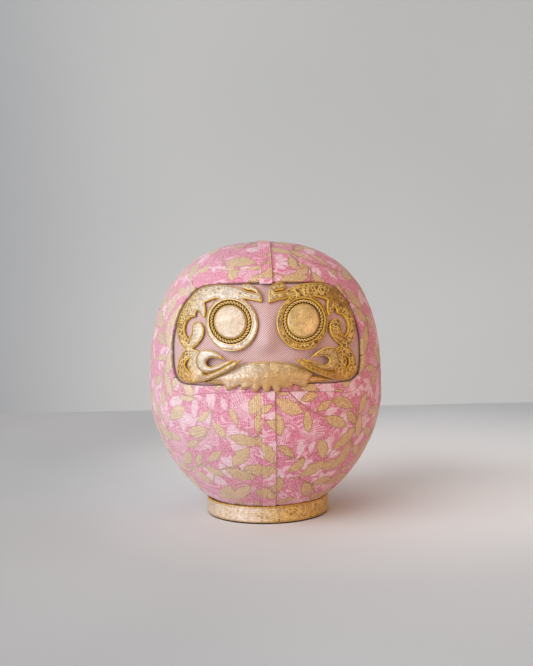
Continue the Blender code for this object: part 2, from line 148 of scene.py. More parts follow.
BROW_BODY = [
    (8.4, 117.3), (13, 119), (19, 120.3), (26, 120.1), (32.2, 118.2), (36.6, 114.2), (40.2, 109),
    (42.8, 103), (43.4, 97.5), (42, 92.8), (39.5, 89.6, SHARP), (41.6, 86.6), (43.4, 81.5), (43.2, 77.2),
    (41.2, 74.9), (37.5, 73.8), (33, 74.5), (28, 75.9), (22, 78.6), (16.3, 81.9), (11.4, 86.2, SHARP),
    (17.5, 83.5), (22, 80.8), (27, 78.9), (30.6, 79.2), (31.4, 83), (32.2, 88.6), (36, 90.2, SHARP),
    (32.6, 93.4), (30.4, 97.6), (30.7, 101.4), (33.4, 103.2), (35.6, 101.8), (36, 98), (37.6, 94.4, SHARP),
    (39.4, 97), (39.6, 100.6), (37.6, 104.2), (34.4, 105.6, SHARP), (33.4, 108.2), (32.3, 107.6),
    (31.2, 105.9), (29.7, 105.2, SHARP), (29.2, 108.2), (29.8, 112.2, SHARP), (26, 113.7),
    (22.6, 114.4, SHARP), (26.4, 111), (28.9, 105.8), (29.1, 100.4), (27, 95.3), (22.6, 91.2), (16.9, 89.8),
    (11.2, 91.2), (6.8, 95.3), (4.6, 100.4), (4.8, 105.4), (7.2, 110.6), (11.1, 114.2, SHARP), (6, 113.3),
]
CHEEK_SLIT = [(37, 86, SHARP), (39.7, 82.4), (36.9, 78.4, SHARP), (38.2, 82.3)]
CHEEK_LOOP = [
    (19.4, 85.6, SHARP), (23.2, 88.5), (28, 90.2), (31.5, 89.3), (33.3, 86), (33, 82.4), (30.8, 79.9),
    (26.8, 79.5), (22.2, 81.1), (18.4, 83.3), (14.7, 86, SHARP), (19.4, 84.7), (23.8, 83), (27.2, 82.2),
    (28.8, 84), (27.4, 85.9), (23.4, 86.4),
]
MOUSTACHE = [
    (-27, 75.9, SHARP), (-20.8, 79.8), (-15.1, 82.4), (-8.6, 84.2), (0, 84.9), (8.6, 84.1), (15, 82.2),
    (21.6, 79.2, SHARP), (19.2, 76.4), (17.7, 72.3, SHARP), (11.4, 74.2, SHARP), (10.4, 71.8, SHARP),
    (5.9, 73.1, SHARP), (4.1, 70.4), (1.4, 73.6, SHARP), (-0.9, 70.6), (-3.2, 73.6, SHARP), (-6.6, 71),
    (-8, 73.3, SHARP), (-12.4, 71.7, SHARP), (-12.9, 74.1, SHARP), (-19.3, 71.1, SHARP), (-21.2, 74.6),
]
MOUTH_LEAF = [
    (-31.2, 74.4, SHARP), (-25, 76.8), (0, 77.8), (25, 76.8), (31.2, 74.4, SHARP), (22, 73.9), (0, 74.7),
    (-22, 73.9),
]


# Sums on arrays of vectors


def smooth_step(value):
    t = np.clip(value, 0.0, 1.0)
    return t * t * (3 - 2 * t)


def lengths(vectors):
    return np.linalg.norm(vectors, axis=-1)


def unit(vectors):
    return vectors / np.maximum(lengths(vectors), 1e-12)[..., None]


def ahead(ring):
    """The direction of a closed line at each of its points."""
    return unit(np.roll(ring, -1, axis=0) - np.roll(ring, 1, axis=0))


def level(vectors, normals):
    """Vectors without their parts along unit normals."""
    return vectors - normals * np.sum(vectors * normals, axis=-1, keepdims=True)


def travelled(line):
    """Distance along a line of points, or down each column of a grid of them."""
    steps = lengths(np.diff(line, axis=0))
    return np.concatenate([np.zeros_like(steps[:1]), np.cumsum(steps, axis=0)])


def ripple(points, scale, seed=0.0):
    """Smooth noise from -1 to 1 at each point, with waves about 1 / scale metres long."""
    shift = Vector((seed, 2 * seed, -seed))
    return np.array([noise.noise(Vector(p) * scale + shift) for p in points])


def values(source, *places):
    """A number for each place, from a function of the places or the same for all."""
    return source(*places) if callable(source) else np.full(len(places[0]), source)


# The egg's surface


def rise_and_powers(z):
    upper = z > EGG_WAIST
    rise = np.where(upper, (z - EGG_WAIST) / (EGG_TOP - EGG_WAIST), (EGG_WAIST - z) / EGG_LOWER)
    along, across = (np.where(upper, *powers) for powers in zip(UPPER_POWERS, LOWER_POWERS))
    return upper, np.clip(rise, 0.0, 1.0), along, across


def egg_radius(z):
    _, rise, along, across = rise_and_powers(z)
    return EGG_RADIUS * (1 - rise**along) ** (1 / across)


def egg_normals(points):
    """Outward unit normals of the egg at points on it."""
    x, y, z = points.T
    upper, rise, along, across = rise_and_powers(z)
    left = np.maximum(1 - rise**along, 1e-6)
    depth = np.where(upper, EGG_TOP - EGG_WAIST, -EGG_LOWER)
    steep = EGG_RADIUS**2 * along / across * rise ** (along - 1) * left ** (2 / across - 1) / depth
    return unit(np.column_stack([x, y, steep]))


def onto_egg(points, centre=EGG_CENTRE):
    """Moves points onto the egg, along rays from a point on its axis."""
    ray = unit(points - (0, 0, centre))
    low, high = np.zeros(len(ray)), np.full(len(ray), BEYOND_EGG)
    sideways = np.hypot(ray[:, 0], ray[:, 1])
    for _ in range(HALVINGS):
        middle = (low + high) / 2
        z = centre + ray[:, 2] * middle
        within = (z < EGG_TOP) & (z > EGG_WAIST - EGG_LOWER) & (sideways * middle < egg_radius(z))
        low, high = np.where(within, middle, low), np.where(within, high, middle)
    return ray * low[:, None] + (0, 0, centre)


def on_egg(x, z, height):
    """Points over (x, z) on the front of the egg, raised along its normals."""
    y = -np.sqrt(np.maximum(egg_radius(z) ** 2 - x**2, 0.0))
    points = np.column_stack([x, y, z])
    return points + egg_normals(points) * np.broadcast_to(height, x.shape)[:, None]


def nose(x, z):
    bridge = smooth_step((NOSE_TOP - z) / (NOSE_TOP - NOSE_TIP))
    underside = smooth_step((z - NOSE_BASE) / (NOSE_TIP - NOSE_BASE))
    return NOSE_HEIGHT * bridge * underside * np.exp(-((x / NOSE_HALF_WIDTH) ** 2))


def on_face(x, z, height):
    return on_egg(x, z, height + nose(x, z) - FACE_RECESS)


def meridian(lowest, highest, spacing):
    """(radius, height) points down the egg, evenly spaced."""
    angles = np.linspace(math.pi / 2, 0, MERIDIAN_SAMPLES)
    halves = []
    for turn, rise, (along, across) in (
        (angles, EGG_TOP - EGG_WAIST, UPPER_POWERS),
        (angles[::-1][1:], -EGG_LOWER, LOWER_POWERS),
    ):
        radius = EGG_RADIUS * np.cos(turn) ** (2 / across)
        halves.append([radius, EGG_WAIST + rise * np.sin(turn) ** (2 / along)])
    line = np.hstack(halves).T
    line[0, 0] = 0.0
    line = line[(line[:, 1] >= lowest - 1e-9) & (line[:, 1] <= highest + 1e-9)]
    far = travelled(line)
    wanted = np.linspace(0, far[-1], round(far[-1] / spacing) + 1)
    return np.column_stack([np.interp(wanted, far, line[:, k]) for k in (0, 1)])


# Meshes


def placed(name, data):
    obj = bpy.data.objects.new(name, data)
    bpy.context.scene.collection.objects.link(obj)
    return obj


def piece(name, points, faces, materials, attributes, kinds=None):
    """A smooth mesh in place of the CAD node of its name.

    attributes are the values that its materials read, and kinds is the number of each face's material."""
    mesh = bpy.data.meshes.new(name)
    mesh.from_pydata([tuple(p) for p in points], [], [tuple(f) for f in faces])
    for material in materials:
        mesh.materials.append(material)
    if kinds is not None:
        mesh.polygons.foreach_set("material_index", np.asarray(kinds, np.int32))
    for key, numbers in attributes.items():
        numbers = np.asarray(numbers, np.float32)
        kind, field = ("FLOAT_VECTOR", "vector") if numbers.ndim == 2 else ("FLOAT", "value")
        mesh.attributes.new(key, kind, "POINT").data.foreach_set(field, numbers.ravel())
    mesh.shade_smooth()
    obj = placed(name, mesh)
    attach(obj, "root")
    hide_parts(name)
    return obj


def grid_faces(rows, columns, closed=False, ring=False):
    """Quads between neighbouring points of a grid that is stored row by row.

    closed joins the last column to the first one, and ring the last row to the first one."""
    numbers = np.arange(rows * columns).reshape(rows, columns)
    numbers = np.pad(numbers, ((0, int(ring)), (0, int(closed))), mode="wrap")
    here, above = numbers[:-1], numbers[1:]
    return np.stack([here[:, :-1], here[:, 1:], above[:, 1:], above[:, :-1]], -1).reshape(-1, 4)


# Outlines


def flipped(outline):
    return [(-x, *rest) for x, *rest in outline]


def mirrored(half):
    return half + flipped(half[-2:0:-1])


def ellipse(centre, half_sizes):
    (x, z), (a, b) = np.array((centre, half_sizes)) / MM
    return [(x - a, z), (x, z + b), (x + a, z), (x, z - b)]


def drawn(outline, spacing):
    """Points in millimetres along a closed outline, no further apart than spacing."""
    curve = bpy.data.curves.new("outline", "CURVE")
    spline = curve.splines.new("BEZIER")
    spline.bezier_points.add(len(outline) - 1)
    spline.use_cyclic_u = True
    knots = list(spline.bezier_points)
    for knot, (x, z, *corner) in zip(knots, outline):
        knot.co = (x, z, 0)
        knot.handle_left_type = knot.handle_right_type = corner[0] if corner else "AUTO"
    line = []
    for here, after in zip(knots, knots[1:] + knots[:1]):
        steps = max(2, math.ceil((after.co - here.co).length * 1.05 / spacing) + 1)
        line += interpolate_bezier(here.co, here.handle_right, after.handle_left, after.co, steps)[:-1]
    bpy.data.curves.remove(curve)
    return np.array([(p.x, p.y) for p in line])


def grown(ring, by):
    """A ring moved outwards, or inwards if by is negative."""
    x, z = ring.T
    along_x, along_z = ahead(ring).T
    area = np.sum(x * np.roll(z, -1) - np.roll(x, -1) * z)
    return ring + np.column_stack([along_z, -along_x]) * math.copysign(by, area)


def inside(points, rings):
    """True where an even-odd count says that a point is inside the rings."""
    x, z = points.T
    found = np.zeros(len(points), bool)
    for ring in rings:
        for (x0, z0), (x1, z1) in zip(ring, np.roll(ring, -1, axis=0)):
            if z0 != z1:
                crossed = (z0 > z) != (z1 > z)
                found ^= crossed & (x < x0 + (z - z0) * (x1 - x0) / (z1 - z0))
    return found


def edge_distance(points, rings):
    """Distance from each point to the nearest point of the rings."""
    dense = []
    for ring in rings:
        after = np.roll(ring, -1, axis=0)
        dense += [ring * (1 - t) + after * t for t in (0, 0.25, 0.5, 0.75)]
    dense = np.concatenate(dense)
    tree = kdtree.KDTree(len(dense))
    for k, (x, z) in enumerate(dense):
        tree.insert((x, z, 0), k)
    tree.balance()
    return np.array([tree.find((x, z, 0))[2] for x, z in points])


def filled(rings, spacing, insets=()):
    """(points, triangles, distance to the edge) of filled rings. The rings' own points come first.

    insets are distances from the edge at which the mesh has a line of points."""
    border = np.concatenate(rings)
    low, high = border.min(0), border.max(0)
    columns = np.arange(low[0], high[0] + spacing, spacing)
    levels = np.arange(low[1], high[1] + spacing, spacing * 0.866)
    field = np.array([(x + (k % 2) * spacing / 2, z) for k, z in enumerate(levels) for x in columns])
    field = field[inside(field, rings)]
    room = (insets[-1] if insets else 0.0) + 0.45 * spacing
    parts = [border, field[edge_distance(field, rings) > room]]
    for inset in insets:
        for ring, way in zip(rings, [-1] + [1] * (len(rings) - 1)):
            moved = grown(ring, way * inset)
            moved = moved[inside(moved, rings)]
            parts.append(moved[edge_distance(moved, rings) > 0.9 * inset])
    points = np.concatenate(parts)
    starts = np.cumsum([0] + [len(ring) for ring in rings])
    loops = [list(range(a, b)) for a, b in zip(starts, starts[1:])]
    made = delaunay_2d_cdt([Vector(p) for p in points], [], loops, 0, 1e-4)
    places = np.array([tuple(p) for p in made[0]])
    triangles = np.array([f for f in made[2] if len(f) == 3])
    triangles = triangles[inside(places[triangles].mean(axis=1), rings)]
    # Back into the order in which the points were given
    rank = np.argsort([origins[0] if origins else len(points) + k for k, origins in enumerate(made[3])])
    places, triangles = places[rank], np.argsort(rank)[triangles]
    a, b, c = (places[triangles[:, k]] for k in range(3))
    (ux, uz), (vx, vz) = (b - a).T, (c - a).T
    turned = ux * vz - uz * vx < 0
    triangles[turned] = triangles[turned][:, ::-1]
    return places, triangles, edge_distance(places, rings)


# Materials


def colour(code):
    """A linear colour from a hexadecimal screen colour."""
    parts = [int(code[k : k + 2], 16) / 255 for k in (0, 2, 4)]
    return (*(p / 12.92 if p < 0.04045 else ((p + 0.055) / 1.055) ** 2.4 for p in parts), 1.0)


class Nodes:
    """A node tree and short ways to add nodes to it."""

    def __init__(self, tree):
        self.tree = tree

    def node(self, kind, inputs, **properties):
        made = self.tree.nodes.new("ShaderNode" + kind)
        for key, value in properties.items():
            setattr(made, key, value)
        for key, value in inputs.items():
            if isinstance(value, bpy.types.NodeSocket):
                self.tree.links.new(value, made.inputs[key])
            else:
                made.inputs[key].default_value = value
        return made

    def math(self, operation, *numbers):
        return self.node("Math", dict(enumerate(numbers)), operation=operation).outputs[0]

    def times(self, first, second):
        return self.math("MULTIPLY", first, second)

    def scaled(self, value, by, plus):
        return self.math("MULTIPLY_ADD", value, by, plus)

    def total(self, *parts):
        """The sum of (value, weight) pairs."""
        result = 0.0
        for value, weight in parts:
            result = self.scaled(value, weight, result)
        return result

    def step(self, value, low, high, to_low=0.0, to_high=1.0, **properties):
        """A smooth step of value from low to high."""
        inputs = {"Value": value, "From Min": low, "From Max": high, "To Min": to_low, "To Max": to_high}
        return self.node("MapRange", inputs, **{"interpolation_type": "SMOOTHSTEP", **properties}).outputs[0]

    def mix(self, factor, first, second):
        """A mix of two colours, each a hexadecimal code or a socket."""
        first, second = (colour(c) if isinstance(c, str) else c for c in (first, second))
        return self.node("Mix", {0: factor, 6: first, 7: second}, data_type="RGBA").outputs[2]

    def layers(self, tint, *layers):
        """A tint with others over it: (share, tint), or (value, low, high, most, tint) for a smooth step."""
        for *share, over in layers:
            if len(share) > 1:
                value, low, high, most = share
                share = [self.step(value, low, high, 0.0, most)]
            tint = self.mix(share[0], tint, over)
        return tint

    def attribute(self, name, output="Vector"):
        return self.node("Attribute", {}, attribute_name=name).outputs[output]

    def split(self, vector):
        return list(self.node("SeparateXYZ", {"Vector": vector}).outputs)

    def stretched(self, vector, scale, location=(0, 0, 0)):
        return self.node("Mapping", {"Vector": vector, "Scale": scale, "Location": location}).outputs[0]

    def noise(self, vector, scale, detail=2.0, roughness=0.5, distortion=0.0):
        inputs = {"Vector": vector, "Scale": scale, "Detail": detail, "Roughness": roughness}
        inputs["Distortion"] = distortion
        return self.node("TexNoise", inputs).outputs[0]

    def place(self):
        """The object's own coordinates in millimetres."""
        return self.stretched(self.node("TexCoord", {}).outputs["Object"], (1 / MM,) * 3)

    def wave(self, value, pitch):
        """A sine of a value, from 0 to 1."""
        return self.scaled(self.math("SINE", self.times(value, TURN / pitch)), 0.5, 0.5)

    def bump(self, height, distance, strength=1.0):
        inputs = {"Height": height, "Distance": distance * MM, "Strength": strength}
        return self.node("Bump", inputs).outputs[0]


class Look(Nodes):
    """A material. settings are values of its shader's sockets, and set() links them."""

    def __init__(self, name, settings=None):
        self.material = bpy.data.materials.new(name)
        self.material.use_nodes = True
        super().__init__(self.material.node_tree)
        self.shader = self.tree.nodes["Principled BSDF"]
        for key, value in (settings or {}).items():
            self.shader.inputs[key].default_value = value

    def set(self, **links):
        for key, value in links.items():
            self.tree.links.new(value, self.shader.inputs[key.replace("_", " ").title()])
        return self.material


def brocade():
    """Pink crepe with gold leaves and pale petals. Their outlines are fields stored on the mesh."""
    sheen = {"Sheen Weight": 0.22, "Sheen Roughness": 0.5, "Sheen Tint": (1.0, 0.93, 0.93, 1.0)}
    look = Look("brocade", sheen)
    gold, across, tone = look.split(look.attribute("gold"))
    pale, vein, fan = look.split(look.attribute("pale"))
    crease_shade = look.attribute("crease_shade", "Fac")
    along_u, along_v, _ = look.split(look.attribute("thread"))
    where = look.place()
    # Painted light: cloth and gold are paler towards the left, where the window's light and sheen fall
    painted_window_light = look.step(look.split(where)[0], 18.0, -46.0)
    grain = look.noise(where, 1.3, 2.0, 0.65)
    speckle = look.noise(where, 0.75, 3.0, 0.7)
    wander = look.noise(where, 0.3, 2.0, 0.6)
    ragged = look.total((wander, 0.7), (grain, 0.7), (1.0, -0.7))
    broad = look.noise(where, 0.06, 1.0)
    rows = look.wave(look.scaled(speckle, 0.9, along_u), ROW_PITCH)
    picks = look.wave(look.scaled(speckle, 0.6, along_v), PICK_PITCH)

    # Ground: grained crepe with wavy pale contours drawn in places
    flow = look.noise(look.stretched(where, (0.6, 0.6, 0.9)), 0.11, 1.0, 0.4, 0.9)
    contour = look.step(look.wave(flow, 0.12), 0.7, 0.9)
    patch = look.step(look.noise(where, 0.06, 1.0, 0.5, 0.3), 0.49, 0.56)
    ground = look.layers(
        look.mix(look.step(grain, 0.36, 0.62), "C05474", "EAA2B6"),
        (broad, 0.35, 0.65, 0.5, "DF7F9C"),
        (speckle, 0.54, 0.68, 0.6, "F2BECB"),
        (speckle, 0.44, 0.3, 0.4, "C0557A"),
        (rows, 0.4, 1.0, 0.3, "B9486C"),
        (look.times(look.times(contour, patch), 0.8), "F0C6D0"),
    )

    # Petals: pale, with pink veins. On a fan only the veins' gaps are pale
    ribs = look.wave(vein, VEIN_PITCH)
    petal = look.layers(
        look.mix(look.step(speckle, 0.4, 0.66), "E6BEC7", "F5E0E3"),
        (ribs, 0.6, 0.95, 0.35, "DC96AA"),
        (picks, 0.4, 1.0, 0.2, "D79AAA"),
    )
    pale_edge = look.math("ADD", pale, ragged)
    is_pale = look.step(pale_edge, 0.0, 0.14)
    open_fan = look.times(fan, look.step(ribs, 0.62, 0.42))
    share = look.times(is_pale, look.math("SUBTRACT", 1.0, open_fan))
    outline = look.times(is_pale, look.step(pale_edge, 0.5, 0.25))

    # Gold: woven metal thread with cream strokes, darker along its outline
    gold_edge = look.scaled(ragged, 0.6, gold)
    is_gold = look.step(gold_edge, -0.08, 0.12)
    stroke = look.wave(look.scaled(speckle, 2.6, across), STROKE_PITCH)
    metal = look.layers(
        look.mix(look.step(grain, 0.38, 0.62), "B0763C", "E4B87E"),
        (speckle, 0.5, 0.66, 0.5, "F3DCB4"),
        (stroke, 0.45, 0.9, 0.5, "EFD6AE"),
        (picks, 0.5, 1.0, 0.35, "96602F"),
        (look.times(tone, 0.35), "E8C99C"),
        (gold_edge, 0.42, 0.18, 0.75, "8E5532"),
        # painted highlight: the gold paler on the window's side
        (look.times(painted_window_light, 0.3), "F2E2C8"),
    )
    cloth = look.layers(
        ground,
        (look.times(share, 0.9), petal),
        (look.times(outline, 0.3), "CB6384"),
        (is_gold, metal),
        # painted light: the whole cloth paler on the window's side
        (look.times(painted_window_light, 0.22), "D6C2C5"),
        # painted shade: dark maroon down in the seams' grooves and the opening's walls
        (crease_shade, 0.2, 0.9, 0.8, "5A2430"),
    )
    weave = look.total((rows, 0.6), (picks, 0.5), (grain, 2.2), (speckle, 1.5))
    return look.set(
        base_color=cloth,
        roughness=look.scaled(speckle, 0.25, look.step(is_gold, 0.0, 1.0, 0.5, 0.28)),
        metallic=look.times(is_gold, 0.3),
        normal=look.bump(weave, 0.22, 0.8),
    )


def satin_twill():
    """Mauve satin with a steep diagonal rib, dark with painted shade under the eyes and along the opening.
    """
    sheen = {"Sheen Weight": 0.5, "Sheen Roughness": 0.35, "Sheen Tint": (1.0, 0.92, 0.9, 1.0)}
    look = Look("satin_twill", sheen)
    thread = look.attribute("thread")
    along_x, along_z, _ = look.split(thread)
    wander = look.noise(look.stretched(thread, (0.25, 0.25, 1.0)), 1.0, 2.0)
    rib = look.wave(look.total((along_z, 0.78), (along_x, -0.62), (wander, 0.5)), RIB_PITCH)
    cross = look.wave(look.math("ADD", along_x, along_z), 0.6)
    fibre = look.noise(thread, 2.4, 2.0, 0.6)
    tint = look.layers(
        look.mix(look.step(rib, 0.1, 0.7), "A06E6C", "DCBCBA"),
        (cross, 0.55, 1.0, 0.2, "965C5C"),
        (fibre, 0.5, 0.75, 0.4, "EAD6D4"),
        # painted shade: near black in the eyes' gaps and along the opening's edge
        (look.attribute("painted_gap_shade", "Fac"), "2A130E"),
    )
    normal = look.bump(look.total((rib, 1.0), (cross, 0.35), (fibre, 0.35)), 0.14, 0.7)
    return look.set(base_color=tint, roughness=look.scaled(fibre, 0.2, 0.34), normal=normal)


def foil(
    name, pale=0.0, wear=1.0, tooling=1.0, worms=0.0, stretch=(1, 1, 1),
    gloss=(0.5, 0.92), amber=0.6, middle=0.0,
):
    """Leather under gold foil, rubbed through in patches and crazed, with fine strokes of a tool across it.

    Left of middle, in millimetres, the colour is lightened by a painted reflection of the window, which also
    hides some of the strokes and rubbing. gloss is the coat's weight to the right and to the left of middle,
    and amber is how strongly the lowest part of the face is stained."""
    plain_gloss, glare_gloss = gloss
    look = Look(name, {"Coat Roughness": 0.33, "Coat IOR": 2.6})
    rim = look.attribute("rim", "Fac")
    place = look.place()
    where = look.stretched(place, stretch)
    across, _, up = look.split(place)
    # Painted reflection of the window: paler, and less rubbed and tooled, left of middle
    painted_glare = look.times(look.step(across, middle + 12.0, middle - 12.0), look.step(across, -45.0, -27.0))
    patches = look.scaled(painted_glare, -0.035, look.noise(where, 0.13, 3.0, 0.62, 0.6))
    blots = look.noise(where, 0.42, 4.0, 0.72, 1.6)
    clouds = look.noise(where, 0.24, 4.0, 0.65, 1.0)
    fine = look.noise(where, 1.5, 3.0, 0.72)
    crazing = look.node("TexVoronoi", {"Vector": where, "Scale": 0.5}, feature="DISTANCE_TO_EDGE").outputs[0]
    strokes = look.noise(look.stretched(look.attribute("tool"), (2.1, 0.12, 1.0)), 1.0, 3.0, 0.6, 0.3)
    worm = look.math("ABSOLUTE", look.math("SUBTRACT", look.noise(where, 0.95, 1.0, 0.5, 1.1), 0.5))
    worn = look.times(look.step(patches, 0.43, 0.53), look.step(blots, 0.34, 0.52))
    cracks = look.times(look.step(crazing, 0.2, 0.05), look.step(patches, 0.4, 0.48))
    cut = look.times(look.step(strokes, 0.5, 0.42), look.scaled(painted_glare, -0.3 * tooling, 0.6 * tooling))
    shade = look.times(look.step(rim, 0.3, 0.5), look.step(rim, 1.15, 0.6))
    low = look.times(look.step(up, 83.0, 75.5), look.step(blots, 0.36, 0.52))
    # painted highlight: the light and dark marks paler on the window's side
    light = look.mix(look.times(painted_glare, 0.7), "F6CE70", "E6DACE")
    dark = look.mix(look.times(painted_glare, 0.75), "6A420E", "B28C66")
    gold = look.layers(
        look.mix(look.step(blots, 0.38, 0.58), "9C6C10", "E0AC2E"),
        (pale, "F2CE86"),
        # painted reflection: a whitish veil on the window's side
        (look.times(painted_glare, 0.8), "DDCFC4"),
        (clouds, 0.43, 0.57, 0.3 + 0.5 * wear, look.mix(painted_glare, "8E5C18", "C4A078")),
        (look.times(worn, 0.95 * wear), dark),
        (look.times(cracks, 0.9 * wear), light),
        (cut, dark),
        (fine, 0.47, 0.3, 0.2 + 0.3 * tooling, dark),
        (fine, 0.56, 0.66, 0.5, light),
        (worm, 0.07, 0.01, 0.7 * worms, "6E430F"),
        (look.times(shade, 0.55), "6E4408"),
        (rim, 0.55, 0.25, 1.0, "EDB81E"),
        (look.times(low, amber), "CC8A1E"),
    )
    grooves = look.step(worm, 0.0, 0.12)
    height = look.total((strokes, 1.8 * tooling), (fine, 0.9), (blots, 0.9), (grooves, 0.8 * worms))
    rubbed = look.times(worn, 0.88 * wear)
    rubbed = look.math("MAXIMUM", rubbed, look.step(fine, 0.48, 0.32, 0.0, 0.3 + 0.4 * tooling))
    rubbed = look.math("MAXIMUM", rubbed, look.step(strokes, 0.5, 0.42, 0.0, 0.6 * tooling))
    rubbed = look.times(rubbed, look.scaled(painted_glare, -0.5, 1.0))
    gloss = look.scaled(painted_glare, glare_gloss - plain_gloss, plain_gloss)
    return look.set(
        base_color=gold,
        roughness=look.scaled(blots, 0.3, look.scaled(worn, 0.2, 0.26)),
        metallic=look.scaled(worn, -0.3, 0.4),
        normal=look.bump(height, 0.34, 0.9),
        coat_weight=look.times(gloss, look.math("SUBTRACT", 1.0, rubbed)),
        coat_normal=look.bump(height, 0.12, 0.7),
    )


def edge_paint():
    """The yellow paint on the leather's cut edges."""
    look = Look("edge_paint", {"Coat Weight": 0.2, "Coat Roughness": 0.3})
    blots = look.noise(look.place(), 0.9, 3.0, 0.6)
    fine = look.noise(look.place(), 3.2, 2.0)
    paint = look.mix(look.step(blots, 0.35, 0.7), "A8741A", "E0B02C")
    paint = look.layers(paint, (fine, 0.6, 0.8, 0.5, "F2D468"))
    normal = look.bump(look.math("ADD", fine, blots), 0.2, 0.6)
    return look.set(base_color=paint, roughness=look.step(fine, 0.2, 0.8, 0.35, 0.6), normal=normal)


def cord_look():
    """Gold thread, with painted shade in the crevices between the plies and on their sides towards the face.
    """
    look = Look("gold_cord_look", {"Metallic": 0.2})
    along, around, raised = look.split(look.attribute("tool"))
    strands = look.wave(look.scaled(around, 0.8, along), 0.4)
    fine = look.noise(look.place(), 3.0, 2.0)
    gold = look.layers(
        look.mix(look.step(strands, 0.1, 0.7), "C8923A", "F8D894"),
        (fine, 0.55, 0.75, 0.4, "FCE8B8"),
        # painted shade: dark where the plies sink into the crevices and towards the face
        (raised, 0.62, 0.2, 1.0, "2E1A0C"),
    )
    normal = look.bump(look.math("ADD", strands, fine), 0.1, 0.7)
    return look.set(base_color=gold, roughness=look.step(fine, 0.3, 0.7, 0.35, 0.5), normal=normal)


def felt_look():
    look = Look("felt_look", {"Sheen Weight": 0.2})
    fuzz = look.noise(look.place(), 2.2, 4.0, 0.7)
    tint = look.mix(look.step(fuzz, 0.3, 0.7), "1B1413", "3A2E2B")
    rough = look.step(fuzz, 0.2, 0.8, 0.85, 1.0)
    return look.set(base_color=tint, roughness=rough, normal=look.bump(fuzz, 0.3))


def plain_look(name, dark, light, scale, rough, stretch=(1, 1, 1)):
    """A raw material inside the doll: mottled, grained and matt."""
    look = Look(name)
    where = look.stretched(look.place(), stretch)
    cloud = look.noise(where, scale, 4.0, 0.6, 0.3)
    fine = look.noise(where, scale * 9, 3.0, 0.6)
    tint = look.mix(look.step(cloud, 0.3, 0.7), dark, light)
    tint = look.layers(tint, (fine, 0.45, 0.7, 0.4, dark))
    normal = look.bump(look.math("ADD", cloud, fine), 0.3)
    return look.set(base_color=tint, roughness=look.step(fine, 0.2, 0.8, rough - 0.1, rough), normal=normal)


# The print: motifs that lie on the egg, each with a place and a direction

Leaf = namedtuple("Leaf", "middle aim side normal length width curl fan")


